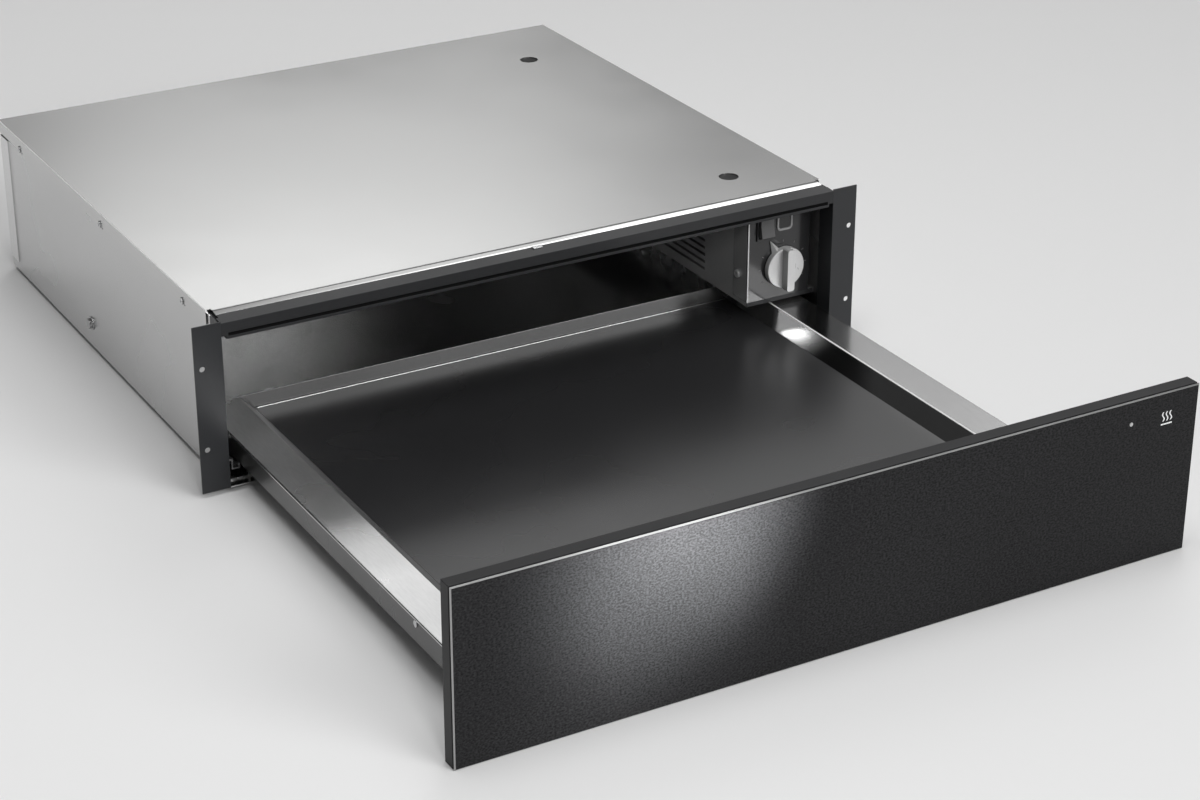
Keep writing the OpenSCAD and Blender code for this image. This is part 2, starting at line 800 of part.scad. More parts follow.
module motor_brackets()
  color("silver") union() {
    motor_bridge(bridge_x0);
    motor_bridge(bridge_x1);
    for (y = [fan_y - post_y, fan_y + post_y]) {
      rod_along_x(y, fan_z, shell_x0 + shell_w, bridge_x0, yoke_h - 2 * seat);
      rod_along_x(y, fan_z, bridge_x0 + bridge_t, stack_x0, yoke_h - 2 * seat);
      rod_along_x(y, fan_z, stack_x0 + stack_w, bridge_x1, yoke_h - 2 * seat);
      rod_along_x(y, fan_z, bridge_x1 + bridge_t, bay_x, yoke_h - 2 * seat);
    }
  }

module rod_bend_turn(y, z, up)
  translate([(rod_x0 + rod_x1) / 2, y, z]) rotate([0, 0, up ? half : 0])
    rotate_extrude(angle = half, $fn = 64) translate([rod_r, 0]) circle(d = rod_d, $fn = 32);

module heater_element()
  color("dimgray") union() {
    for (x = [rod_x0, rod_x1]) {
      rod_along_y(x, rod_z + rod_rise / 2, rod_y0, rod_y1, rod_d);
      rod_along_y(x, rod_z + rod_rise / 2, rod_y0 - rod_lead, rod_y0, rod_lead_d);
    }
    rod_bend_turn(rod_y1, rod_z + rod_rise / 2, false);
  }

module heater_brackets()
  color("silver") for (y = [rod_y0 + clamp_w, rod_y1 - 2 * clamp_w])
    difference() {
      union() {
        box(rod_x0 - rod_d, rod_x1 + rod_d, y, y + clamp_w, rod_z + rod_rise / 2 - rod_d,
          rod_z + rod_rise / 2 + rod_d);
        box((rod_x0 + rod_x1) / 2 - clamp_w, (rod_x0 + rod_x1) / 2 + clamp_w, y, y + clamp_w,
          duct_z + sheet_t, rod_z + rod_rise / 2 - rod_d);
      }
      for (x = [rod_x0, rod_x1])
        rod_along_y(x, rod_z + rod_rise / 2, y - over, y + clamp_w + over, rod_d + 2 * fit);
    }

module thermal_cutout()
  color("#2a2a2c") union() {
    box(duct_x + sheet_t, duct_x + sheet_t + cutout_plate_t, cutout_y - cutout_plate / 2,
      cutout_y + cutout_plate / 2, cutout_z - cutout_d / 3, cutout_z + cutout_d / 3);
    rod_along_x(cutout_y, cutout_z, duct_x + sheet_t + cutout_plate_t,
      duct_x + sheet_t + cutout_plate_t + cutout_h, cutout_d);
  }

module terminal_block()
  color("ivory") difference() {
    box(block_x0, block_x0 + block_w, block_y0, block_y0 + block_l, duct_z + sheet_t,
      duct_z + sheet_t + block_h);
    for (i = [1 : block_holes])
      rod_along_z(block_x0 + i * block_w / (block_holes + 1), block_y0 + block_l / 2,
        duct_z + sheet_t + block_h / 2, duct_z + sheet_t + block_h + over, block_hole_d);
  }

module cable_gland()
  color("#1d1d1f") difference() {
    union() {
      rod_along_y(gland_x, gland_z, case_d - sheet_t - gland_in, case_d, gland_d - 2 * fit);
      rod_along_y(gland_x, gland_z, case_d, case_d + gland_out, gland_flange_d);
      rod_along_y(gland_x, gland_z, case_d - sheet_t - gland_in, case_d - sheet_t - gland_in / 2,
        gland_flange_d);
    }
    rod_along_y(gland_x, gland_z, case_d - sheet_t - gland_in - over, case_d + gland_out + over,
      gland_bore_d);
  }

module runner_outline()
  union() {
    translate([leg_in, sheet_t]) square([bay_x - leg_in, runner_floor]);
    translate([leg_in, sheet_t]) square([runner_t, runner_leg_z - sheet_t]);
    translate([leg_out - runner_t, sheet_t]) square([runner_t, runner_leg_z - sheet_t]);
    translate([web_x, sheet_t]) square([runner_t, runner_web_z - sheet_t]);
    translate([hook_x1, runner_web_z - runner_t]) square([web_x - hook_x1, runner_t]);
    translate([hook_x1, hook_z]) square([hook_t, runner_web_z - hook_z]);
    translate([upstand_x, hook_z]) square([hook_x1 - upstand_x, hook_t]);
    translate([upstand_x, hook_z]) square([hook_t, hook_up]);
  }

module runner()
  difference() {
    union() {
      along_y(runner_y0, runner_y0 + runner_l) runner_outline();
      box(web_x, bay_x, bolt_y - bolt_lug_l / 2, bolt_y + bolt_lug_l / 2, runner_web_z, bolt_lug_h);
    }
    rod_along_x(bolt_y, bolt_z, web_x - over, bay_x + over, bolt_core_d + 2 * bolt_core_gap);
  }

module runner_left() color("silver") to_left() runner();
module runner_right() color("silver") runner();

module runner_bolts()
  color("dimgray") both_sides() union() {
    rod_along_x(bolt_y, bolt_z, side_x, side_x + washer_t, washer_d);
    translate([side_x + washer_t, bolt_y, bolt_z]) rotate([0, quarter, 0])
      cylinder(h = bolt_h, d = bolt_key / cos(half / 6), $fn = 6);
    rod_along_x(bolt_y, bolt_z, web_x - washer_t, side_x, bolt_core_d);
  }

module cover_screws()
  color("silver") both_sides() for (y = cover_screw_ys) {
    rod_along_x(y, cover_screw_z, case_x, case_x + cover_screw_h, cover_screw_d);
    rod_along_x(y, cover_screw_z, case_x - cover_screw_l, case_x, cover_screw_core_d);
  }

module control_screw()
  color("silver") union() {
    rod_along_x(control_y + control_screw_dy, control_screw_z, duct_x - sheet_t - control_screw_h,
      duct_x - sheet_t, control_screw_d);
    rod_along_x(control_y + control_screw_dy, control_screw_z, duct_x - sheet_t,
      duct_x - sheet_t + control_screw_l, control_screw_core_d);
  }

module rail_clip()
  color("silver") difference() {
    box(-clip_w / 2, clip_w / 2, clip_y, clip_y + clip_l, clip_z0, clip_z0 + clip_h);
    rod_along_z(0, clip_y + clip_l / 2, clip_z0 + clip_h / 2, clip_z0 + clip_h + over, clip_l / 2);
  }

module latch_housing()
  color("#2b2c2f") difference() {
    box(-latch_w / 2, latch_w / 2, latch_y0, latch_y0 + latch_l, sheet_t, sheet_t + latch_h);
    rod_along_y(0, latch_z, latch_y0 - over, latch_y0 - pin_out + pin_l + push + 2 * seat,
      pin_d + 2 * fit);
  }

module latch_plunger()
  color("gainsboro") rod_along_y(0, latch_z, latch_y0 - pin_out, latch_y0 - pin_out + pin_l, pin_d);

module plate_side(half_w, y0, y1, bevel)
  polygon([[-half_w, y1], [-half_w, y0 + bevel], [-half_w + bevel, y0], [half_w - bevel, y0],
    [half_w, y0 + bevel], [half_w, y1]]);

module front_panel()
  color("#2f3033") difference() {
    intersection() {
      translate([0, 0, panel_z0]) linear_extrude(height = panel_h)
        plate_side(panel_w / 2, panel_y, panel_y + plate_t, plate_bevel);
      along_x(-panel_w / 2, panel_w / 2)
        polygon([[panel_y + plate_t, panel_z0], [panel_y + plate_bevel, panel_z0],
          [panel_y, panel_z0 + plate_bevel], [panel_y, panel_z1 - plate_bevel],
          [panel_y + plate_bevel, panel_z1], [panel_y + plate_t, panel_z1]]);
    }
    rod_along_y(lens_x, marks_z + lens_rise, panel_y - over, panel_y + plate_t + over, lens_d + 2 * fit);
  }

module panel_seal()
  color("#141416") difference() {
    box(-panel_w / 2 + seal_inset, panel_w / 2 - seal_inset, seal_y, carrier_y,
      panel_z0 + seal_inset, panel_z1 - seal_inset);
    rod_along_y(lens_x, lens_z, seal_y - over, carrier_y + over, lens_head_d + 2 * fit);
  }

module panel_carrier()
  color("silver") difference() {
    box(-panel_w / 2, panel_w / 2, carrier_y, panel_back_y, panel_z0, panel_z1);
    box(-panel_w / 2 + carrier_wall, panel_w / 2 - carrier_wall, carrier_y - over,
      panel_back_y - carrier_wall, panel_z0 + carrier_wall, panel_z1 - carrier_wall);
  }

module panel_core()
  color("wheat") difference() {
    box(-panel_w / 2 + carrier_wall + seat, panel_w / 2 - carrier_wall - seat, carrier_y,
      panel_back_y - carrier_wall - seat, panel_z0 + carrier_wall + seat,
      panel_z1 - carrier_wall - seat);
    rod_along_y(lens_x, lens_z, carrier_y - over, panel_back_y, lens_head_d + 2 * fit);
  }

module indicator_lens()
  color("white") union() {
    rod_along_y(lens_x, lens_z, panel_y - lens_proud, seal_y, lens_d);
    rod_along_y(lens_x, lens_z, seal_y, carrier_y + carrier_t / 2, lens_head_d);
  }

function wave(s, side) = [sin(2 * half * s) * symbol_w * wave_share + side * symbol_line / 2,
  symbol_h * (s * wave_top_share + wave_foot_share)];

module heat_symbol()
  color("white") along_y(panel_y - symbol_t, panel_y)
    translate([symbol_x, marks_z - symbol_h / 2]) union() {
      translate([-symbol_w / 2, symbol_h * bar_foot_share]) square([symbol_w, symbol_line]);
      for (i = [-1, 0, 1])
        translate([i * symbol_w / 3, 0])
          polygon(concat([for (k = [0 : symbol_steps]) wave(k / symbol_steps, -1)],
            [for (k = [symbol_steps : -1 : 0]) wave(k / symbol_steps, 1)]));
    }

module tray_base()
  color("gray") box(-tray_base_x, tray_base_x, panel_back_y, drawer_end_y, tray_z, tray_z + sheet_t);

module tray_mat()
  color("#3c3d40") along_y(panel_back_y + seat, drawer_end_y - seat)
    polygon([[-tray_x + flank_out * mat_t + seat, tray_z + sheet_t], [-tray_x + seat, mat_z],
      [tray_x - seat, mat_z], [tray_x - flank_out * mat_t - seat, tray_z + sheet_t]]);

module side_rail_outline()
  polygon([[foot_x - foot_l, foot_z], [foot_x - foot_l, tray_z],
    [foot_x + flank_out * sheet_t, tray_z],
    [flank_x, rail_z], [drawer_x, rail_z], [drawer_x, rail_flange_z],
    [drawer_x - sheet_t, rail_flange_z], [drawer_x - sheet_t, rail_z - sheet_t],
    [flank_x + (flank_skew - flank_out) * sheet_t, rail_z - sheet_t],
    [foot_x + flank_skew * sheet_t, foot_z]]);

module side_rail()
  difference() {
    along_y(panel_back_y, drawer_end_y) side_rail_outline();
    for (y = rivet_ys)
      rod_along_x(y, rail_z - rivet_drop, drawer_x - sheet_t - over, drawer_x + over,
        rivet_core_d + 2 * bolt_core_gap);
  }

module side_rail_left() color("silver") to_left() side_rail();
module side_rail_right() color("silver") side_rail();

module back_wall()
  color("silver") union() {
    along_y(drawer_end_y, drawer_end_y + sheet_t)
      polygon([[-foot_x, foot_z], [-flank_x - flank_out * back_rise, back_top_z],
        [flank_x + flank_out * back_rise, back_top_z], [foot_x, foot_z]]);
    box(-back_foot_x, back_foot_x, drawer_end_y - foot_l, drawer_end_y, foot_z, tray_z);
  }

module slide_outline()
  union() {
    translate([leg_in, slide_top_z - runner_t]) square([runner_w, runner_t]);
    translate([leg_in, slide_leg_z]) square([runner_t, slide_top_z - slide_leg_z]);
    translate([leg_out - runner_t, slide_leg_z]) square([runner_t, slide_top_z - slide_leg_z]);
  }

module drawer_runner() along_y(slide_y0 - travel, slide_y0 + slide_l - travel) slide_outline();
module drawer_runner_left() color("silver") to_left() drawer_runner();
module drawer_runner_right() color("silver") drawer_runner();

module runner_middle()
  along_y(middle_y0 - travel / 2, middle_y0 + middle_l - travel / 2) union() {
    translate([bar_in, lower_bar_z]) square([bar_out - bar_in, bar_h]);
    translate([bar_in, upper_bar_z]) square([bar_out - bar_in, bar_h]);
    translate([runner_x - middle_web / 2, lower_bar_z])
      square([middle_web, upper_bar_z + bar_h - lower_bar_z]);
  }

module runner_middle_left() color("lightgray") to_left() runner_middle();
module runner_middle_right() color("lightgray") runner_middle();

// A cage is a channel with ball holes; turned is 1 when it stands and -1 when it hangs
module ball_cage(y0, ball_z, bridge_z, turned)
  union() {
    for (x = [leg_in + runner_t + race_w / 2, leg_out - runner_t - race_w / 2]) {
      difference() {
        box(x - cage_t / 2, x + cage_t / 2, y0, y0 + cage_l,
          turned > 0 ? bridge_z : ball_z - bar_h / 2 + seat,
          turned > 0 ? ball_z + bar_h / 2 - seat : bridge_z + cage_bridge);
        for (i = [1 : balls])
          rod_along_x(y0 + i * cage_l / (balls + 1), ball_z, x - cage_t / 2 - over,
            x + cage_t / 2 + over, ball_d + 2 * cage_hole_gap);
      }
      for (i = [1 : balls])
        translate([x, y0 + i * cage_l / (balls + 1), ball_z]) sphere(d = ball_d, $fn = 24);
    }
    box(leg_in + runner_t + race_w / 2 + cage_t / 2, leg_out - runner_t - race_w / 2 - cage_t / 2,
      y0, y0 + cage_l, bridge_z, bridge_z + cage_bridge);
  }

module lower_cage()
  ball_cage(cage_y0 - travel / 4, lower_bar_z + bar_h / 2,
    (sheet_t + runner_floor + lower_bar_z - cage_bridge) / 2, 1);

module upper_cage()
  ball_cage(cage_y0 - 3 * travel / 4, upper_bar_z + bar_h / 2,
    (slide_top_z - runner_t + upper_bar_z + bar_h - cage_bridge) / 2, -1);

module lower_cage_left() color("goldenrod") to_left() lower_cage();
module lower_cage_right() color("goldenrod") lower_cage();
module upper_cage_left() color("goldenrod") to_left() upper_cage();
module upper_cage_right() color("goldenrod") upper_cage();

module latch_striker()
  color("silver") union() {
    box(-striker_w / 2, striker_w / 2, striker_y - striker_l, striker_y, tray_z - striker_t, tray_z);
    box(-striker_w / 2, striker_w / 2, striker_y - striker_t, striker_y, latch_z - pin_d / 2,
      tray_z - striker_t);
  }

module front_bumpers()
  color("#202022") both_sides() for (z = [panel_z0 + bumper_edge, panel_z1 - bumper_edge])
    rod_along_y(panel_w / 2 - bumper_edge, z, panel_back_y, panel_back_y + front_gap - bumper_gap,
      bumper_d);

module front_brackets()
  color("silver") both_sides() union() {
    box(runner_x - bracket_w / 2, runner_x + bracket_w / 2, panel_back_y, panel_back_y + bracket_t,
      bracket_z0, rail_z - sheet_t);
    box(runner_x - bracket_w / 2, runner_x + bracket_w / 2, panel_back_y + bracket_t,
      slide_y0 - travel - seat, rail_z - sheet_t - bracket_t, rail_z - sheet_t);
  }

module rail_rivets()
  color("white") both_sides() for (y = rivet_ys) {
    rod_along_x(y, rail_z - rivet_drop, drawer_x, drawer_x + rivet_h, rivet_d);
    rod_along_x(y, rail_z - rivet_drop, leg_out + seat, drawer_x, rivet_core_d);
  }

base_pan();
side_panel_left();
side_panel_right();
rear_panel();
top_cover();
front_top_rail();
flange_left();
flange_right();
inner_roof();
roof_insulation();
duct_wall();
control_panel();
thermostat_body();
switch_housing();
lamp_bezel();
lamp_lens();
blower_housing();
motor_stator();
motor_brackets();
heater_element();
heater_brackets();
thermal_cutout();
terminal_block();
cable_gland();
runner_left();
runner_right();
runner_bolts();
cover_screws();
control_screw();
rail_clip();
latch_housing();
front_panel();
panel_seal();
panel_carrier();
panel_core();
heat_symbol();
indicator_lens();
tray_base();
tray_mat();
side_rail_left();
side_rail_right();
back_wall();
drawer_runner_left();
drawer_runner_right();
latch_striker();
front_bumpers();
front_brackets();
rail_rivets();
runner_middle_left();
runner_middle_right();
lower_cage_left();
lower_cage_right();
upper_cage_left();
upper_cage_right();
temperature_knob();
thermostat_shaft();
switch_rocker();
fan_wheel();
fan_rotor();
latch_plunger();
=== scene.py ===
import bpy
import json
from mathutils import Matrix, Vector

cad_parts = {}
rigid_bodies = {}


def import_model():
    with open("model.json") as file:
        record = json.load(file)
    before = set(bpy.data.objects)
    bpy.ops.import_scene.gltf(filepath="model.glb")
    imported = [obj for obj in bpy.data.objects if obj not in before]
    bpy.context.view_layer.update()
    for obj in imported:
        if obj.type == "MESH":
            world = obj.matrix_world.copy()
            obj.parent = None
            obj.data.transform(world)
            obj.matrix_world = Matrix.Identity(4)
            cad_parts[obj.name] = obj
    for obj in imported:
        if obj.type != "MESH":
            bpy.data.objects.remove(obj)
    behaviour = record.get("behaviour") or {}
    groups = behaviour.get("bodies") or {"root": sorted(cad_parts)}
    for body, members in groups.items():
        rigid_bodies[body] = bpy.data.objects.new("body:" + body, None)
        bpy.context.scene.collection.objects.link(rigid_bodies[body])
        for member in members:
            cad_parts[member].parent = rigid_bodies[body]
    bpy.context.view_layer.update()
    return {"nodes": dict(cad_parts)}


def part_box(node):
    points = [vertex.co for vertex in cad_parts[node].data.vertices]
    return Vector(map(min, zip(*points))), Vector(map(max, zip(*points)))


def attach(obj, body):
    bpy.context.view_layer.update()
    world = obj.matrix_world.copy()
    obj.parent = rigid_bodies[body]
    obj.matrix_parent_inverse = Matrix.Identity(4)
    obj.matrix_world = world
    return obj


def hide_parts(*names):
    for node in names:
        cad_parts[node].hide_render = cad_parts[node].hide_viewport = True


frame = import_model()

import json
import math
import bpy
from mathutils import Matrix, Vector

scene = bpy.context.scene
scene.view_settings.view_transform = "Standard"
mm = 0.001

# The camera stands at the photograph's place
cameraShot = {
    "place": (-0.93433, -1.72956, 0.95211),
    "turnDeg": (64.890, 0.211, -29.142),
    "sensorWidth": 36,
    "lens": 81.58,
    "shift": (0.02208, -0.02088),
    "clip": (0.05, 60),
}


def inRadians(turns):
    return [math.radians(turn) for turn in turns]


def makeCamera(shot):
    data = bpy.data.cameras.new("camera")
    data.sensor_width = shot["sensorWidth"]
    data.lens = shot["lens"]
    data.shift_x, data.shift_y = shot["shift"]
    data.clip_start, data.clip_end = shot["clip"]
    camera = bpy.data.objects.new("camera", data)
    camera.location = shot["place"]
    camera.rotation_euler = inRadians(shot["turnDeg"])
    scene.collection.objects.link(camera)
    scene.camera = camera


makeCamera(cameraShot)
print("camera placed")


def addNode(tree, kind, place, inputs=None, **settings):
    node = tree.nodes.new("ShaderNode" + kind)
    node.location = place
    for name, value in settings.items():
        setattr(node, name, value)
    for name, value in (inputs or {}).items():
        node.inputs[name].default_value = value
    return node


def wire(tree, *runs):
    # a run is a node and its output, then the next node and its input
    for source, output, target, entry in runs:
        tree.links.new(source.outputs[output], target.inputs[entry])


def newGroup(name, inputs, outputs):
    tree = bpy.data.node_groups.new(name, "ShaderNodeTree")
    for label, kind, value in inputs:
        socket = tree.interface.new_socket(label, in_out="INPUT", socket_type="NodeSocket" + kind)
        socket.default_value = value
    for label, kind in outputs:
        tree.interface.new_socket(label, in_out="OUTPUT", socket_type="NodeSocket" + kind)
    given, out = tree.nodes.new("NodeGroupInput"), tree.nodes.new("NodeGroupOutput")
    given.location, out.location = (-900, 0), (700, 0)
    return tree, given, out


def makeSheetGrain():
    # fine rolled grain, long in one direction, and a slow cloud over the sheet
    tree, given, out = newGroup(
        "sheetGrain",
        [("Grain", "Float", 900.0), ("Stretch", "Vector", (1.0, 1.0, 1.0)),
         ("Cloud", "Float", 9.0)],
        [("Fine", "Float"), ("Cloud", "Float")])
    coords = addNode(tree, "TexCoord", (-1100, 300))
    spread = addNode(tree, "VectorMath", (-850, 300), operation="MULTIPLY")
    fine = addNode(tree, "TexNoise", (-600, 300), {"Detail": 1.0})
    cloud = addNode(tree, "TexNoise", (-600, -100), {"Detail": 3.0, "Roughness": 0.5})
    wire(tree, (coords, "Object", spread, 0), (given, "Stretch", spread, 1),
         (spread, "Vector", fine, "Vector"), (given, "Grain", fine, "Scale"),
         (coords, "Object", cloud, "Vector"), (given, "Cloud", cloud, "Scale"))
    for source, label, height in ((fine, "Fine", 300), (cloud, "Cloud", -100)):
        even = addNode(tree, "MapRange", (-250, height), {"From Min": 0.3, "From Max": 0.7})
        wire(tree, (source, "Fac", even, "Value"), (even, "Result", out, label))
    return tree


def makeToneBlend():
    # lightens and darkens a tone by the grain and by the cloud
    tree, given, out = newGroup(
        "toneBlend",
        [("Tone", "Color", (0.5, 0.5, 0.5, 1.0)), ("Fine", "Float", 0.5),
         ("Fine Share", "Float", 0.1), ("Cloud", "Float", 0.5), ("Cloud Share", "Float", 0.1)],
        [("Color", "Color")])
    both = addNode(tree, "Math", (-200, 0), operation="ADD")
    whole = addNode(tree, "Math", (0, 0), {1: 1.0}, operation="ADD")
    tint = addNode(tree, "VectorMath", (300, 0), operation="SCALE")
    for index, label in enumerate(("Fine", "Cloud")):
        height = 200 - 400 * index
        centre = addNode(tree, "Math", (-600, height), {1: 0.5}, operation="SUBTRACT")
        share = addNode(tree, "Math", (-400, height), operation="MULTIPLY")
        wire(tree, (given, label, centre, 0), (centre, 0, share, 0),
             (given, label + " Share", share, 1), (share, 0, both, index))
    wire(tree, (both, 0, whole, 0), (given, "Tone", tint, 0), (whole, 0, tint, "Scale"),
         (tint, "Vector", out, "Color"))
    return tree


def makeZoneMask():
    # 1 where a point lies farther than a distance along an axis, on either side, and 0 elsewhere
    tree, given, out = newGroup(
        "paintedZoneMask", [("Axis", "Vector", (1.0, 0.0, 0.0)), ("Beyond", "Float", 0.26)],
        [("Mask", "Float")])
    coords = addNode(tree, "TexCoord", (-800, 0))
    along = addNode(tree, "VectorMath", (-600, 0), operation="DOT_PRODUCT")
    far = addNode(tree, "Math", (-400, 0), operation="ABSOLUTE")
    past = addNode(tree, "Math", (-200, 0), operation="GREATER_THAN")
    wire(tree, (coords, "Object", along, 0), (given, "Axis", along, 1), (along, "Value", far, 0),
         (far, 0, past, 0), (given, "Beyond", past, 1), (past, 0, out, "Mask"))
    return tree


sheetGrain = makeSheetGrain()
paintedZoneMask = makeZoneMask()
toneBlend = makeToneBlend()

# What a finish has where its own dictionary says nothing: grain and cloud are scales, fine and
# cloudy say how much each changes the tone, and roughVary how far the gloss strays
plainFinish = dict(metal=0.0, roughVary=0.05, fine=0.05, cloudy=0.05, grain=900.0,
                   stretch=(1.0, 1.0, 1.0), cloud=12.0, bump=0.0, bumpDepth=0.5 * mm, specular=0.5,
                   brushed=0.0, brushTurn=0.25, paintedLightShadeZone=None)
# A tone that is one number is a grey; a painted zone is what lies beyond a distance along an axis,
# on either side, and gets its own tone there as painted light or shade
finishes = {
    "coverSteel": dict(tone=(0.6, 0.6, 0.595), metal=1.0, rough=0.22, roughVary=0.03, grain=700.0,
                       cloud=5.0),
    "sideSteel": dict(tone=0.6, metal=1.0, rough=0.26, roughVary=0.04, cloudy=0.06, grain=700.0,
                      cloud=5.0),
    # painted light: past 24.6 mm along Y, on the return flange, the tone rises to a light grey,
    # half metal; partly the flange's own lighter satin grey, partly painted light lifting it out of
    # its shade
    "controlSteel": dict(tone=(0.024, 0.024, 0.025), rough=0.13, roughVary=0.02, fine=0.1,
                         cloudy=0.06, cloud=14.0,
                         paintedLightShadeZone=dict(axis=(0, 1, 0), beyond=24.6 * mm, tone=0.64, metal=0.5)),
    # painted light: the steel inside the cavity and the base pan get lighter tones than the outer
    # cover, lifting them out of the cavity's shade
    "innerLitSteel": dict(tone=0.74, metal=1.0, rough=0.24, roughVary=0.08, fine=0.04, grain=800.0,
                       cloud=9.0),
    "panLitSteel": dict(tone=0.72, metal=1.0, rough=0.24, roughVary=0.06, fine=0.04, grain=800.0,
                     cloud=6.0),
    # painted shade: past 261.3 mm across, on the rail's outer flank, the tone drops to a dark 0.13
    "railSteel": dict(tone=0.66, metal=0.9, rough=0.3, fine=0.07, cloudy=0.04,
                      stretch=(1.0, 0.12, 1.0),
                      paintedLightShadeZone=dict(axis=(1, 0, 0), beyond=261.3 * mm, tone=0.13)),
    # painted shade: the far rail wears a darker copy of the rail steel, with the same dark outer
    # flank
    "farRailShadedSteel": dict(tone=0.42, metal=1.0, rough=0.17, roughVary=0.03, fine=0.07, cloudy=0.04,
                         stretch=(1.0, 0.12, 1.0),
                         paintedLightShadeZone=dict(axis=(1, 0, 0), beyond=261.3 * mm, tone=0.13)),
    # painted shade: the tray's back wall, drawer steel like the rails, gets a dark tone for the
    # dark it should reflect
    "wallShadedSteel": dict(tone=0.18, metal=1.0, rough=0.2, roughVary=0.02, cloudy=0.06,
                      stretch=(0.12, 1.0, 1.0)),
    "zincSteel": dict(tone=(0.62, 0.625, 0.63), metal=1.0, rough=0.24, roughVary=0.1, fine=0.1,
                      cloudy=0.12, cloud=60.0),
    "darkEnamel": dict(tone=(0.026, 0.027, 0.029), rough=0.34, roughVary=0.06, fine=0.12,
                       cloudy=0.06, bump=0.02, cloud=14.0, specular=0.3),
    "carrierPaint": dict(tone=(0.022, 0.022, 0.023), rough=0.38, roughVary=0.06, fine=0.14,
                         cloudy=0.06, bump=0.02, cloud=14.0, specular=0.12),
    "frontSteel": dict(tone=(0.027, 0.027, 0.028), metal=1.0, rough=0.275, roughVary=0.03,
                       fine=0.85, cloudy=0.08, grain=800.0, stretch=(0.7, 1.0, 1.0), cloud=5.0,
                       brushed=0.95),
    "matRubber": dict(tone=(0.02, 0.02, 0.021), rough=0.28, roughVary=0.04, fine=0.1, cloudy=0.06,
                      cloud=6.0),
    "blackPlastic": dict(tone=(0.018, 0.018, 0.019), rough=0.38, roughVary=0.08, fine=0.2,
                         cloudy=0.1, grain=1400.0, bump=0.05, cloud=40.0),
    # painted shade for the knob grip's sides: a darker copy of the knob's silver
    "knobPaintedShade": dict(tone=0.36, metal=0.25, rough=0.4, fine=0.06, cloudy=0.04, grain=1600.0,
                      cloud=70.0),
    "ductSteel": dict(tone=0.62, metal=0.4, rough=0.3, grain=800.0, cloud=9.0),
    "foldSteel": dict(tone=(0.66, 0.66, 0.655), metal=1.0, rough=0.11, roughVary=0.02, fine=0.04,
                      cloudy=0.04, grain=700.0, stretch=(0.1, 1.0, 1.0), cloud=5.0),
    "edgeSteel": dict(tone=0.38, metal=1.0, rough=0.34, roughVary=0.04, fine=0.06),
    "arrisSteel": dict(tone=0.7, metal=1.0, rough=0.2, roughVary=0.04, stretch=(1.0, 0.1, 1.0)),
    "railPaint": dict(tone=(0.026, 0.0265, 0.028), rough=0.36, fine=0.12, cloudy=0.06,
                      stretch=(0.15, 1.0, 1.0), cloud=14.0, specular=0.22),
    "grooveShadePaint": dict(tone=0.004, rough=0.7, fine=0.1, cloudy=0.1, cloud=14.0, specular=0.05),
    "highlightTrimPaint": dict(tone=0.66, metal=0.1, rough=0.35, roughVary=0.04, stretch=(1.0, 1.0, 0.1),
                      cloud=20.0),
    "tickGrey": dict(tone=0.16, rough=0.5, grain=1500.0, cloud=80.0),
    "rockerPlastic": dict(tone=(0.075, 0.075, 0.076), rough=0.33, fine=0.1, grain=1400.0,
                          cloud=40.0),
    # painted reflection: the lamp's bezel is a lighter grey than the switch's black plastic,
    # standing in for the ring of reflection on it
    "lampReflectionGrey": dict(tone=0.26, rough=0.25, roughVary=0.04, fine=0.1, grain=1400.0, cloud=40.0),
    "blackRubber": dict(tone=0.006, rough=0.6, roughVary=0.1, fine=0.2, cloudy=0.2, grain=1200.0,
                        bump=0.05, cloud=40.0),
    "boltSteel": dict(tone=0.5, metal=1.0, rough=0.28, roughVary=0.08, fine=0.1, cloudy=0.12,
                      cloud=60.0),
    "paintedHighlightArris": dict(tone=0.95, rough=0.26, roughVary=0.04, fine=0.04, cloudy=0.04,
                        stretch=(1.0, 0.1, 1.0)),
    "darkSteel": dict(tone=(0.12, 0.12, 0.125), metal=1.0, rough=0.42, roughVary=0.15, fine=0.3,
                      cloudy=0.25, bump=0.08, cloud=70.0),
    "whitePlastic": dict(tone=(0.72, 0.72, 0.7), rough=0.36, roughVary=0.08, grain=1500.0,
                         bump=0.03, cloud=50.0),
    "knobSilver": dict(tone=0.62, metal=0.25, rough=0.3, fine=0.06, cloudy=0.04, grain=1600.0,
                       cloud=70.0),
    "fibreBoard": dict(tone=(0.5, 0.46, 0.36), rough=0.9, fine=0.5, cloudy=0.25, grain=500.0,
                       stretch=(1.0, 1.0, 0.3), bump=0.4, cloud=30.0),
    "cageBrass": dict(tone=(0.6, 0.47, 0.24), metal=1.0, rough=0.25, roughVary=0.12, fine=0.1,
                      cloudy=0.1, cloud=60.0),
    "smokedLens": dict(tone=0.012, rough=0.14, cloudy=0.1, cloud=90.0),
    "clearLens": dict(tone=0.42, rough=0.12, roughVary=0.04, cloud=120.0),
    "markWhite": dict(tone=0.8, rough=0.5, cloudy=0.04, grain=1500.0, cloud=80.0),
}


def asColor(tone):
    # a single number is a grey
    return (*tone, 1.0) if isinstance(tone, tuple) else (tone, tone, tone, 1.0)


# lays a zone's own tone, and its metal, over the grain's tone as painted light or shade
def addPaintedLightShadeZone(tree, shader, tone, f):
    paintedLightShadeZone = f["paintedLightShadeZone"]
    side = addNode(tree, "Group", (-700, 600), {"Axis": paintedLightShadeZone["axis"], "Beyond": paintedLightShadeZone["beyond"]},
                   node_tree=paintedZoneMask)
    paintedZoneTone = addNode(tree, "Mix", (-350, 450), {"B": asColor(paintedLightShadeZone["tone"])}, data_type="RGBA")
    wire(tree, (side, "Mask", paintedZoneTone, "Factor"), (tone, "Color", paintedZoneTone, "A"),
         (paintedZoneTone, "Result", shader, "Base Color"))
    if "metal" in paintedLightShadeZone:
        plated = addNode(tree, "MapRange", (-350, 250),
                         {"To Min": f["metal"], "To Max": paintedLightShadeZone["metal"]})
        wire(tree, (side, "Mask", plated, "Value"), (plated, "Result", shader, "Metallic"))


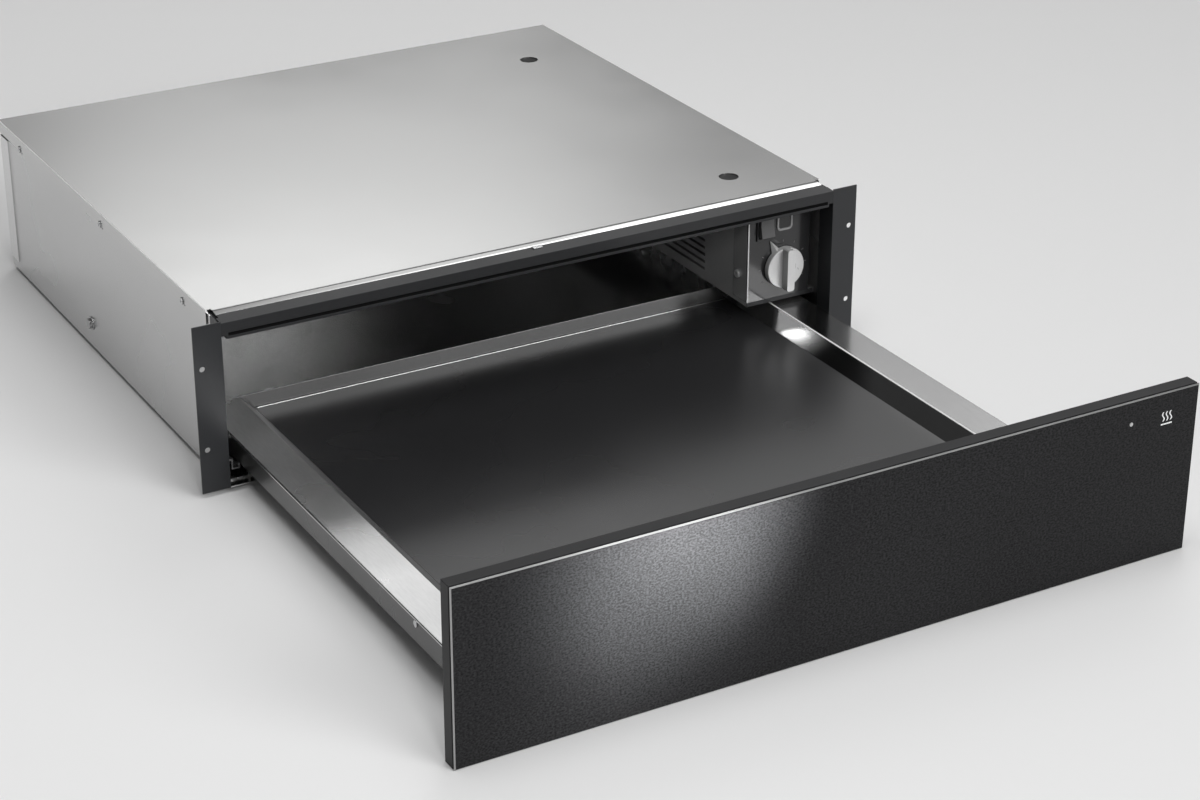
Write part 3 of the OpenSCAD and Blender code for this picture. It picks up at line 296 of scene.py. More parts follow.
def makeFinish(name, changes):
    f = {**plainFinish, **changes}
    material = bpy.data.materials.new(name)
    material.use_nodes = True
    tree = material.node_tree
    shader = tree.nodes["Principled BSDF"]
    shader.inputs["Metallic"].default_value = f["metal"]
    shader.inputs["Specular IOR Level"].default_value = f["specular"]
    grain = addNode(tree, "Group", (-1100, 100),
                    {"Grain": f["grain"], "Stretch": f["stretch"], "Cloud": f["cloud"]},
                    node_tree=sheetGrain)
    tone = addNode(tree, "Group", (-700, 250),
                   {"Tone": asColor(f["tone"]), "Fine Share": f["fine"],
                    "Cloud Share": f["cloudy"]}, node_tree=toneBlend)
    gloss = addNode(tree, "MapRange", (-700, -50),
                    {"To Min": f["rough"] - f["roughVary"], "To Max": f["rough"] + f["roughVary"]})
    wire(tree, (grain, "Fine", tone, "Fine"), (grain, "Cloud", tone, "Cloud"),
         (tone, "Color", shader, "Base Color"), (grain, "Cloud", gloss, "Value"),
         (gloss, "Result", shader, "Roughness"))
    if f["paintedLightShadeZone"]:
        addPaintedLightShadeZone(tree, shader, tone, f)
    if f["brushed"]:
        across = addNode(tree, "Tangent", (-700, -600), direction_type="RADIAL", axis="Z")
        shader.inputs["Anisotropic"].default_value = f["brushed"]
        shader.inputs["Anisotropic Rotation"].default_value = f["brushTurn"]
        wire(tree, (across, "Tangent", shader, "Tangent"))
    if f["bump"]:
        bump = addNode(tree, "Bump", (-400, -350),
                       {"Strength": f["bump"], "Distance": f["bumpDepth"]})
        wire(tree, (grain, "Fine", bump, "Height"), (bump, "Normal", shader, "Normal"))
    return material


materials = {name: makeFinish(name, changes) for name, changes in finishes.items()}
print("finishes made", len(materials))

wearsFinish = {
    "coverSteel": ["top_cover"],
    "sideSteel": ["side_panel_left", "side_panel_right"],
    "innerLitSteel": ["inner_roof", "rear_panel", "blower_housing"],
    "ductSteel": ["duct_wall"],
    "panLitSteel": ["base_pan"],
    "railSteel": ["side_rail_left", "side_rail_right", "tray_base"],
    "wallShadedSteel": ["back_wall"],
    "carrierPaint": ["panel_carrier"],
    "zincSteel": ["runner_left", "runner_right", "drawer_runner_left", "drawer_runner_right",
                  "runner_middle_left", "runner_middle_right", "front_brackets", "latch_striker",
                  "rail_clip", "rail_rivets", "cover_screws", "control_screw", "thermostat_body",
                  "thermostat_shaft", "motor_brackets", "heater_brackets", "fan_rotor"],
    "darkEnamel": ["front_top_rail", "flange_left", "flange_right"],
    "controlSteel": ["control_panel"],
    "frontSteel": ["front_panel"],
    "matRubber": ["tray_mat"],
    "blackPlastic": ["switch_housing", "switch_rocker", "lamp_bezel", "thermal_cutout",
                     "cable_gland", "latch_housing"],
    "blackRubber": ["panel_seal", "front_bumpers"],
    "darkSteel": ["motor_stator", "heater_element", "runner_bolts"],
    "whitePlastic": ["terminal_block", "fan_wheel", "latch_plunger"],
    "knobSilver": ["temperature_knob"],
    "fibreBoard": ["roof_insulation", "panel_core"],
    "cageBrass": ["lower_cage_left", "lower_cage_right", "upper_cage_left", "upper_cage_right"],
    "smokedLens": ["lamp_lens"],
    "clearLens": ["indicator_lens"],
    "markWhite": ["heat_symbol"],
}


def dressNodes():
    for finish, nodes in wearsFinish.items():
        for node in nodes:
            mesh = frame["nodes"][node].data
            mesh.materials.clear()
            mesh.materials.append(materials[finish])


dressNodes()
print("nodes dressed")

mergeDistance = 0.01 * mm
flatAngle = math.radians(0.5)
near = 0.1  # mm: places closer than this count as one


def startAfresh():
    if bpy.context.object and bpy.context.object.mode != "OBJECT":
        bpy.ops.object.mode_set(mode="OBJECT")
    bpy.ops.object.select_all(action="DESELECT")


def makeActive(piece):
    startAfresh()
    piece.select_set(True)
    bpy.context.view_layer.objects.active = piece


def nodeBox(node):
    # a node's lowest and highest corners in mm
    return [Vector(corner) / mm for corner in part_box(node)]


def inMetres(place):
    return [value * mm for value in place]


def setDown():
    # a new primitive goes to the origin, unturned, with its place in its mesh
    bpy.ops.object.transform_apply(location=True, rotation=True, scale=True)
    return bpy.context.object


def addCylinder(radius, depth, middle=(0, 0, 0), sides=48, turned=(0, 0, 0)):
    startAfresh()
    bpy.ops.mesh.primitive_cylinder_add(vertices=sides, radius=radius * mm, depth=depth * mm,
                                        location=inMetres(middle), rotation=inRadians(turned))
    return setDown()


def addBox(size, middle=(0, 0, 0), turned=(0, 0, 0)):
    startAfresh()
    bpy.ops.mesh.primitive_cube_add(size=1, location=inMetres(middle), rotation=inRadians(turned))
    bpy.context.object.scale = inMetres(size)
    return setDown()


def smoothPiece(piece, angle=40):
    makeActive(piece)
    bpy.ops.object.shade_smooth_by_angle(angle=math.radians(angle))
    weighing = piece.modifiers.new("flatFaces", "WEIGHTED_NORMAL")
    weighing.keep_sharp = True
    bpy.ops.object.modifier_apply(modifier=weighing.name)


def roundEdges(piece, width, segments=2, angle=35):
    makeActive(piece)
    rounding = piece.modifiers.new("roundEdges", "BEVEL")
    rounding.width = width * mm
    rounding.segments = segments
    rounding.limit_method = "ANGLE"
    rounding.angle_limit = math.radians(angle)
    bpy.ops.object.modifier_apply(modifier=rounding.name)
    smoothPiece(piece)


def clearPicks(piece, kind):
    makeActive(piece)
    bpy.ops.object.mode_set(mode="EDIT")
    bpy.ops.mesh.select_mode(type=kind)
    bpy.ops.mesh.select_all(action="DESELECT")
    bpy.ops.object.mode_set(mode="OBJECT")


def pickEdges(piece, wanted):
    # leaves the piece in edit mode with the wanted edges selected
    clearPicks(piece, "EDGE")
    points = piece.data.vertices
    for edge in piece.data.edges:
        edge.select = wanted(*(points[i].co / mm for i in edge.vertices))
    bpy.ops.object.mode_set(mode="EDIT")


def pickEndFace(piece, way):
    # leaves the piece in edit mode with its upper face (way 1) or lower face (way -1) selected
    clearPicks(piece, "FACE")
    for face in piece.data.polygons:
        face.select = face.normal.z * way > 0.9
    bpy.ops.object.mode_set(mode="EDIT")


def bevelPicked(width, segments=2):
    bpy.ops.mesh.bevel(offset=width * mm, offset_type="OFFSET", segments=segments, affect="EDGES")
    bpy.ops.object.mode_set(mode="OBJECT")


def mergePoints():
    # in edit mode
    bpy.ops.mesh.select_all(action="SELECT")
    bpy.ops.mesh.remove_doubles(threshold=mergeDistance)


def copyNode(node):
    # a merged copy, with the triangles of a flat face made one face
    startAfresh()
    piece = bpy.data.objects.new(node + "Copy", frame["nodes"][node].data.copy())
    scene.collection.objects.link(piece)
    makeActive(piece)
    bpy.ops.object.mode_set(mode="EDIT")
    mergePoints()
    bpy.ops.mesh.dissolve_limited(angle_limit=flatAngle)
    bpy.ops.object.mode_set(mode="OBJECT")
    return piece


def combine(piece, other, how):
    makeActive(piece)
    change = piece.modifiers.new("combine", "BOOLEAN")
    change.operation = how
    change.object = other
    bpy.ops.object.modifier_apply(modifier=change.name)
    bpy.data.objects.remove(other)


def joinPieces(first, *others):
    startAfresh()
    for piece in (first, *others):
        piece.select_set(True)
    bpy.context.view_layer.objects.active = first
    if others:
        bpy.ops.object.join()
    return first


def placeCopies(pattern, places):
    # copies of a pattern along +Z, each turned to face an axis and set at a place, joined in one
    copies = []
    for spot, facing, turn in places:
        copy = pattern.copy()
        copy.data = pattern.data.copy()
        scene.collection.objects.link(copy)
        swing = Vector(facing).to_track_quat("Z", "Y").to_matrix().to_4x4()
        roll = Matrix.Rotation(math.radians(turn), 4, "Z")
        copy.data.transform(Matrix.Translation(Vector(spot) * mm) @ swing @ roll)
        copies.append(copy)
    joinPieces(*copies)
    bpy.data.objects.remove(pattern)
    return copies[0]


def finishPiece(piece, name, body, slot, finish, *nodes):
    piece.name = name
    piece.data.name = name
    piece.data.materials.clear()
    piece.data.materials.append(materials[finish])
    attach(piece, body)
    if nodes:
        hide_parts(*nodes)


def paintFaces(piece, finish, wanted):
    piece.data.materials.append(materials[finish])
    index = len(piece.data.materials) - 1
    for face in piece.data.polygons:
        if wanted(face.center / mm, face.normal):
            face.material_index = index


# Each is a copy of the node it is listed under, with its edges rounded by a width in mm
roundedPieces = {
    "side_rail_left": dict(name="railLeft", body="drawer", slot="drawer_steel", finish="railSteel",
                           width=0.45),
    "side_rail_right": dict(name="railRight", body="drawer", slot="drawer_steel",
                            finish="farRailShadedSteel", width=0.45),
    "back_wall": dict(name="trayBackWall", body="drawer", slot="drawer_steel", finish="wallShadedSteel",
                      width=0.35),
    "panel_carrier": dict(name="plateCarrier", body="drawer", slot="dark_enamel",
                          finish="carrierPaint", width=0.35),
    "flange_left": dict(name="earLeft", body="cabinet", slot="dark_enamel", finish="darkEnamel",
                        width=0.25),
    "flange_right": dict(name="earRight", body="cabinet", slot="dark_enamel", finish="darkEnamel",
                         width=0.25),
    "switch_housing": dict(name="switchFrame", body="cabinet", slot="black_plastic",
                           finish="blackPlastic", width=0.35),
    "switch_rocker": dict(name="switchRocker", body="rocker", slot="black_plastic",
                          finish="rockerPlastic", width=0.5),
    "lamp_bezel": dict(name="lampFrame", body="cabinet", slot="black_plastic", finish="lampReflectionGrey",
                       width=0.5),
    "runner_left": dict(name="fixedRunnerLeft", body="cabinet", slot="zinc_steel",
                        finish="zincSteel", width=0.25),
    "runner_right": dict(name="fixedRunnerRight", body="cabinet", slot="zinc_steel",
                         finish="zincSteel", width=0.25),
    "drawer_runner_left": dict(name="slideLeft", body="drawer", slot="zinc_steel",
                               finish="zincSteel", width=0.25),
    "drawer_runner_right": dict(name="slideRight", body="drawer", slot="zinc_steel",
                                finish="zincSteel", width=0.25),
    "rail_clip": dict(name="railClip", body="cabinet", slot="zinc_steel", finish="zincSteel",
                      width=0.2),
}


def makeRoundedPieces():
    for node, plan in roundedPieces.items():
        piece = copyNode(node)
        roundEdges(piece, plan["width"])
        finishPiece(piece, plan["name"], plan["body"], plan["slot"], plan["finish"], node)


makeRoundedPieces()
print("rounded pieces made")

crossScrew = {
    "headRadius": 3.0,
    "headHeight": 1.2,
    "rounding": 0.45,
    "crossLength": 3.4,
    "crossWidth": 0.75,
    "crossDepth": 0.8,
    "shankRadius": 1.45,
    "shankLength": 4.0,
    "rows": ((72.0, 20), (250.9, 65), (451.0, 10)),  # place along the side, and turn of the cross
}
panScrew = {
    "headRadius": 3.6,
    "headHeight": 2.4,
    "rounding": 1.0,
    "crossLength": 4.2,
    "crossWidth": 0.9,
    "crossDepth": 1.3,
    "shankRadius": 1.7,
    "shankLength": 9.0,
    "turn": 30,
}
hexBolt = {
    "across": 8.0,
    "headHeight": 2.6,
    "rounding": 0.35,
    "dishRim": 0.9,
    "dishDepth": 0.5,
    "washerRadius": 6.0,
    "washerThickness": 0.8,
    "washerRounding": 0.25,
    "shankRadius": 2.45,
    "shankRounding": 0.3,
    "turn": 12,
}


def makeCrossHead(size):
    # a screw along +Z: the head stands on z = 0, the shank goes down, the cross is sunk from above
    height = size["headHeight"]
    head = addCylinder(size["headRadius"], height, (0, 0, height / 2))
    pickEndFace(head, -1)
    bpy.ops.mesh.inset(thickness=(size["headRadius"] - size["shankRadius"]) * mm)
    bpy.ops.mesh.extrude_region_move(
        TRANSFORM_OT_translate={"value": (0, 0, -size["shankLength"] * mm)})
    roundEdges(head, size["rounding"], segments=4, angle=50)
    groove = (size["crossLength"], size["crossWidth"], 2 * size["crossDepth"])
    for turn in (0, 90):
        combine(head, addBox(groove, (0, 0, height), turned=(0, 0, turn)), "DIFFERENCE")
    smoothPiece(head)
    return head


def makeScrews():
    low, high = nodeBox("cover_screws")
    seat, level = high.x - crossScrew["headHeight"], (low.z + high.z) / 2
    spots = [((side * seat, y, level), (side, 0, 0), turn)
             for side in (-1, 1) for y, turn in crossScrew["rows"]]
    heads = placeCopies(makeCrossHead(crossScrew), spots)
    finishPiece(heads, "coverScrewHeads", "cabinet", "zinc_steel", "zincSteel", "cover_screws")
    low, high = [[value / mm for value in corner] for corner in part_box("control_screw")]
    spot = (low[0] + panScrew["headHeight"], (low[1] + high[1]) / 2, (low[2] + high[2]) / 2)
    head = placeCopies(makeCrossHead(panScrew), [(spot, (-1, 0, 0), panScrew["turn"])])
    finishPiece(head, "controlScrewHead", "cabinet", "zinc_steel", "knobSilver", "control_screw")


def makeBolts():
    b = hexBolt
    low, high = nodeBox("runner_bolts")
    seat = high.x - b["headHeight"] - b["washerThickness"]
    reach = seat - min(abs(v.co.x) for v in frame["nodes"]["runner_bolts"].data.vertices) / mm
    head = addCylinder(b["across"] / 2 / math.cos(math.radians(30)), b["headHeight"],
                       (0, 0, b["headHeight"] / 2), sides=6)
    pickEndFace(head, 1)
    bpy.ops.mesh.inset(thickness=b["dishRim"] * mm)
    bpy.ops.transform.translate(value=(0, 0, -b["dishDepth"] * mm))
    roundEdges(head, b["rounding"])
    head.data.transform(Matrix.Translation((0, 0, b["washerThickness"] * mm)))
    washer = addCylinder(b["washerRadius"], b["washerThickness"],
                         (0, 0, b["washerThickness"] / 2), sides=64)
    roundEdges(washer, b["washerRounding"])
    shank = addCylinder(b["shankRadius"], reach, (0, 0, -reach / 2), sides=32)
    roundEdges(shank, b["shankRounding"])
    places = [((side * seat, (low.y + high.y) / 2, (low.z + high.z) / 2), (side, 0, 0), b["turn"])
              for side in (-1, 1)]
    bolts = placeCopies(joinPieces(head, washer, shank), places)
    finishPiece(bolts, "runnerBoltHeads", "cabinet", "dark_steel", "boltSteel", "runner_bolts")


makeScrews()
makeBolts()
print("screws and bolts made")

# The cover's curved front becomes one flat bright fold
coverFold = {
    "run": 5.5,
    "rounding": 0.3,
    "curveRadius": 30.0,
    "curveRun": 8.0,
    "sheet": 1.2,
}


def makeCover():
    low, high = nodeBox("top_cover")
    front, top, radius = low.y, high.z, coverFold["curveRadius"]
    halfSheet = coverFold["sheet"] / 2

    def curveHeight(y):
        return top - radius + math.sqrt(radius ** 2 - (front + coverFold["curveRun"] - y) ** 2)

    piece = copyNode("top_cover")
    rows = {round(v.co.y / mm, 2) for v in piece.data.vertices
            if v.co.z / mm > top - coverFold["sheet"]}
    crease = min(rows, key=lambda y: abs(y - front - coverFold["run"]))
    # the lines inside the curve go, so that one flat face is left
    pickEdges(piece, lambda a, b: front + near < a.y < crease - near and abs(a.y - b.y) < near
              and abs(a.x - b.x) > near and min(a.z, b.z) > curveHeight(a.y) - halfSheet)
    bpy.ops.mesh.dissolve_edges(use_verts=True)
    roundEdges(piece, coverFold["rounding"])
    pickEdges(piece, lambda a, b: abs(a.y - crease) < near and abs(b.y - crease) < near
              and min(a.z, b.z) > curveHeight(crease) - halfSheet)
    bpy.ops.mesh.mark_sharp()
    bpy.ops.object.mode_set(mode="OBJECT")
    finishPiece(piece, "coverSheet", "cabinet", "cover_steel", "coverSteel", "top_cover")
    paintFaces(piece, "foldSteel", lambda at, facing: front - near < at.y < crease - near
               and facing.z > -0.2 and facing.y < -0.05 and abs(facing.x) < 0.3)


makeCover()
print("cover made")

# The front plate has a bright ground edge, and the niche's top rail painted shade in its groove
frontPlate = {
    "edge": 0.5,
    "edgeBand": 1.2,
}
topRail = {
    "rounding": 0.35,
    "grooveTop": 128.2,
    "grooveFoot": 124.6,
    "grooveFront": -0.92,
    "grooveBack": 0.4,
}


def makeFrontPlate():
    low, high = nodeBox("front_panel")
    band = frontPlate["edgeBand"]
    piece = copyNode("front_panel")
    pickEdges(piece, lambda a, b: max(a.y, b.y) < low.y + near
              and (min(abs(a.x), abs(b.x)) > high.x - near or max(a.z, b.z) < low.z + near
                   or min(a.z, b.z) > high.z - near))
    bevelPicked(frontPlate["edge"])
    smoothPiece(piece)
    finishPiece(piece, "frontPlate", "drawer", "front_steel", "frontSteel", "front_panel")
    paintFaces(piece, "edgeSteel", lambda at, facing: -0.97 < facing.y < -0.15
               and (abs(at.x) > high.x - band or at.z > high.z - band or at.z < low.z + band))


def makeTopRail():
    piece = copyNode("front_top_rail")
    roundEdges(piece, topRail["rounding"])
    finishPiece(piece, "nicheRail", "cabinet", "dark_enamel", "railPaint", "front_top_rail")
    # painted shade: the groove's faces get a near-black paint
    paintFaces(piece, "grooveShadePaint", lambda at, facing: facing.y < 0.3
               and topRail["grooveFront"] < at.y < topRail["grooveBack"]
               and topRail["grooveFoot"] < at.z < topRail["grooveTop"])


makeFrontPlate()
makeTopRail()
print("front plate and top rail made")

# Knob with a chamfered disc, a crisp grip and a ridged pointer
heatKnob = {
    "discRadius": 18.0,
    "discFront": 17.1,
    "discBack": 22.1,
    "chamfer": 1.3,
    "gripWidth": 7.4,
    "gripLength": 37.0,
    "gripFront": 9.15,
    "gripCorner": 2.2,
    "gripRounding": 0.45,
    "gripSunk": 1.0,
    "pointerReach": 28.1,
    "pointerFoot": 13.0,
    "pointerHalf": 5.2,
    "pointerTip": 0.25,
    "pointerTurn": 28.0,
    "sharpAngle": 25,
}


def makePointer(x, z):
    # a four-sided point that stands out past the disc's rim, cut flush with the disc's back
    k = heatKnob
    turn = math.radians(k["pointerTurn"])
    toward = Vector((-math.sin(turn), 0, math.cos(turn)))
    length = k["pointerReach"] - k["pointerFoot"]
    startAfresh()
    bpy.ops.mesh.primitive_cone_add(vertices=4, radius1=k["pointerHalf"] * mm,
                                    radius2=k["pointerTip"] * mm, depth=length * mm)
    pointer = bpy.context.object
    middle = Vector((x, k["discBack"], z)) + toward * (k["pointerFoot"] + length / 2)
    pointer.data.transform(Matrix.Translation(middle * mm) @ Matrix.Rotation(-turn, 4, "Y"))
    bpy.ops.object.mode_set(mode="EDIT")
    bpy.ops.mesh.select_all(action="SELECT")
    bpy.ops.mesh.bisect(plane_co=(0, k["discBack"] * mm, 0), plane_no=(0, 1, 0), use_fill=True,
                        clear_outer=True)
    bpy.ops.object.mode_set(mode="OBJECT")
    return pointer


def makeKnob():
    k = heatKnob
    low, high = nodeBox("thermostat_shaft")
    x, z = (low.x + high.x) / 2, (low.z + high.z) / 2
    disc = addCylinder(k["discRadius"], k["discBack"] - k["discFront"],
                       (x, (k["discBack"] + k["discFront"]) / 2, z), sides=96, turned=(90, 0, 0))
    pickEdges(disc, lambda a, b: max(a.y, b.y) < k["discFront"] + near)
    bevelPicked(k["chamfer"])
    deep = k["discFront"] + k["gripSunk"] - k["gripFront"]
    grip = addBox((k["gripWidth"], deep, k["gripLength"]), (x, k["gripFront"] + deep / 2, z))
    pickEdges(grip, lambda a, b: abs(a.y - b.y) > near)
    bevelPicked(k["gripCorner"], segments=5)
    combine(disc, makePointer(x, z), "UNION")
    combine(disc, grip, "UNION")
    makeActive(disc)
    bpy.ops.object.mode_set(mode="EDIT")
    mergePoints()
    bpy.ops.object.mode_set(mode="OBJECT")
    pickEdges(disc, lambda a, b: max(a.y, b.y) < k["gripFront"] + near)
    bevelPicked(k["gripRounding"])
    smoothPiece(disc, k["sharpAngle"])
    finishPiece(disc, "heatKnob", "knob", "silver_knob", "knobSilver", "temperature_knob")
    # painted shade: the grip's side faces take a darker copy of the knob's silver
    paintFaces(disc, "knobPaintedShade", lambda at, facing: abs(facing.x) > 0.8 and at.y < k["discFront"]
               and abs(at.x - x) < k["gripWidth"])


makeKnob()
print("knob made")

# Rolled arrises and a bead as thin rods, the white rods painted highlights, and trims as thin bars,
# one a painted highlight and one painted shade; places in mm
coverLow, coverHigh = nodeBox("top_cover")
coverSpan = (coverLow.y + 9.0, coverHigh.y - 1.0)  # from behind the fold to just short of the back
railSpan = (-411.0, 76.6)
beadRounding = 0.4  # of a bead's radius
beads = {
    # painted highlight: the white rods on the cover's two edges and on the right rail's arris stand
    # in for the highlights along those edges
    "coverArrisLeft": dict(axis="Y", at=(coverLow.x + 0.25, 0, coverHigh.z - 0.75), span=coverSpan,
                           radius=0.75, body="cabinet", slot="cover_steel", finish="paintedHighlightArris"),
    "coverArrisRight": dict(axis="Y", at=(coverHigh.x - 0.25, 0, coverHigh.z - 0.75),
                            span=coverSpan, radius=0.75, body="cabinet", slot="cover_steel",
                            finish="paintedHighlightArris"),
    "railArrisRight": dict(axis="Y", at=(231.4, 0, 32.95), span=railSpan, radius=0.9, body="drawer",
                           slot="drawer_steel", finish="paintedHighlightArris"),
    "railArrisLeft": dict(axis="Y", at=(-261.2, 0, 32.95), span=railSpan, radius=0.9, body="drawer",
                          slot="drawer_steel", finish="arrisSteel"),
    "matBackBead": dict(axis="X", at=(0, 75.9, 21.75), span=(-216.5, 216.5), radius=0.6,
                        body="drawer", slot="drawer_steel", finish="arrisSteel"),
}
trims = {
    # painted highlight: a light grey bar on the control panel's left edge stands in for the
    # highlight on its fold
    "controlEdgeTrim": dict(low=(204.75, 22.75, 40.5), high=(206.0, 23.3, 123.0), rounding=0.2,
                            finish="highlightTrimPaint"),
    # painted shade: a dark bar closes the gap under the control panel, where the view behind falls
    # in shade
    "controlFootTrim": dict(low=(205.2, 23.3, 36.4), high=(271.2, 24.4, 40.3), rounding=0.2,
                            finish="railPaint"),
}
# painted shade: black discs under the cover's holes stand in for the dark cavity seen through them
holePads = {
    "radius": 11.0,
    "low": 136.84,
    "high": 137.06,
    "rounding": 0.05,
    "x": 211.7,
    "rows": (66.0, 417.8),
}
dialTicks = {
    "count": 9,
    "first": -120.0,
    "last": 120.0,
    "radius": 22.6,
    "length": 2.0,
    "width": 0.5,
    "proud": 0.12,
    "rounding": 0.05,
}


def makeBead(name, plan):
    first, last = plan["span"]
    middle = Vector(plan["at"])
    middle["XYZ".index(plan["axis"])] = (first + last) / 2
    turned = (90, 0, 0) if plan["axis"] == "Y" else (0, 90, 0)
    bead = addCylinder(plan["radius"], last - first, middle, sides=24, turned=turned)
    roundEdges(bead, beadRounding * plan["radius"], angle=50)
    finishPiece(bead, name, plan["body"], plan["slot"], plan["finish"])


def makeTrim(name, plan):
    low, high = Vector(plan["low"]), Vector(plan["high"])
    bar = addBox(high - low, (low + high) / 2)
    roundEdges(bar, plan["rounding"])
    finishPiece(bar, name, "cabinet", "dark_enamel", plan["finish"])


def makeHoleShadePads():
    pad = addCylinder(holePads["radius"], holePads["high"] - holePads["low"])
    roundEdges(pad, holePads["rounding"])
    level = (holePads["low"] + holePads["high"]) / 2
    spots = [((holePads["x"], y, level), (0, 0, 1), 0) for y in holePads["rows"]]
    finishPiece(placeCopies(pad, spots), "holePads", "cabinet", "black_rubber", "blackRubber")


def makeDialTicks():
    t = dialTicks
    low, high = nodeBox("thermostat_shaft")
    face = nodeBox("control_panel")[0].y
    tick = addBox((t["width"], t["length"], 2 * t["proud"]))
    roundEdges(tick, t["rounding"])
    spots = []
    for step in range(t["count"]):
        swing = t["first"] + (t["last"] - t["first"]) * step / (t["count"] - 1)
        turn = math.radians(swing)
        spot = ((low.x + high.x) / 2 + t["radius"] * math.sin(turn), face,
                (low.z + high.z) / 2 + t["radius"] * math.cos(turn))
        spots.append((spot, (0, -1, 0), -swing))
    finishPiece(placeCopies(tick, spots), "dialTicks", "cabinet", "silver_knob", "tickGrey")


for name, plan in beads.items():
    makeBead(name, plan)
for name, plan in trims.items():
    makeTrim(name, plan)
makeHoleShadePads()
makeDialTicks()
print("arrises, trims and pads made")

# Places in the studio are in metres
studioFloor = {
    "level": -0.0041,
    "tone": 0.80,
    "rough": 0.9,
    "size": 30.0,
}
# A low grey sky by height, with upright panels and round patches of light; angles are in degrees,
# and an azimuth is counted from the back to the right
sky = {
    "rise": [(0.0, 0.30), (0.12, 0.14), (0.45, 0.12), (1.0, 0.30)],
    "panels": [dict(azimuth=23.0, inner=3, outer=8.8, lift=(0.32, 0.39), top=0.52, gain=1.64),
               dict(azimuth=38.0, inner=5, outer=11, lift=(0.335, 0.40), top=1.2, gain=0.68)],
    "patches": [dict(toward=(0.56, 0.52, 0.65), middle=8, rim=16, gain=1.6),
                dict(toward=(0.37, -0.83, 0.42), middle=6, rim=24, gain=6.0),
                dict(toward=(-0.38, 0.72, 0.58), middle=8, rim=34, gain=-0.11)],
    "topSoftness": 0.07,
    "aheadSoftness": 0.2,
}
softboxes = {
    "overheadSoftbox": dict(place=(-0.2, -0.5, 2.6), target=(0, -0.1, 0), size=(1.8, 1.4),
                            watts=28),
    "keySoftbox": dict(place=(-0.68, -2.07, 1.52), target=(0.23, 0.0, 0.05), size=(0.32, 0.32),
                       watts=9),
}
# Each lights one piece alone; cones are in degrees
narrowLamps = {
    "panelSpot": dict(place=(1.22, -2.72, 0.75), target=(-0.145, -0.425, 0.12), cone=2.8,
                      radius=0.06, watts=3500, onlyOn="frontPlate"),
    "panelSpotLow": dict(place=(1.22, -2.72, 0.75), target=(-0.165, -0.425, 0.055), cone=2.8,
                         radius=0.06, watts=700, onlyOn="frontPlate"),
    "flankSpot": dict(place=(0.1825, 0.092, 0.106), target=(0.228, -0.004, 0.040), cone=18,
                      radius=0.014, watts=0.1, onlyOn="railRight"),
}


def makeFloor():
    startAfresh()
    bpy.ops.mesh.primitive_plane_add(size=studioFloor["size"],
                                     location=(0, 0, studioFloor["level"]))
    floor = bpy.context.object
    floor.name = "floor"
    material = bpy.data.materials.new("floorPaint")
    material.use_nodes = True
    shader = material.node_tree.nodes["Principled BSDF"]
    shader.inputs["Base Color"].default_value = asColor(studioFloor["tone"])
    shader.inputs["Roughness"].default_value = studioFloor["rough"]
    floor.data.materials.append(material)


def makeSkyPatch():
    # a round soft patch, 1 at its middle and 0 past its rim
    tree, given, out = newGroup(
        "skyPatch",
        [("Direction", "Vector", (0.0, 0.0, 1.0)), ("Toward", "Vector", (0.0, 0.0, 1.0)),
         ("Rim", "Float", 0.8), ("Middle", "Float", 0.98)],
        [("Mask", "Float")])
    facing = addNode(tree, "VectorMath", (-500, 0), operation="DOT_PRODUCT")
    fade = addNode(tree, "MapRange", (-200, 0), interpolation_type="SMOOTHSTEP")
    wire(tree, (given, "Direction", facing, 0), (given, "Toward", facing, 1),
         (facing, "Value", fade, "Value"), (given, "Rim", fade, "From Min"),
         (given, "Middle", fade, "From Max"), (fade, "Result", out, "Mask"))
    return tree


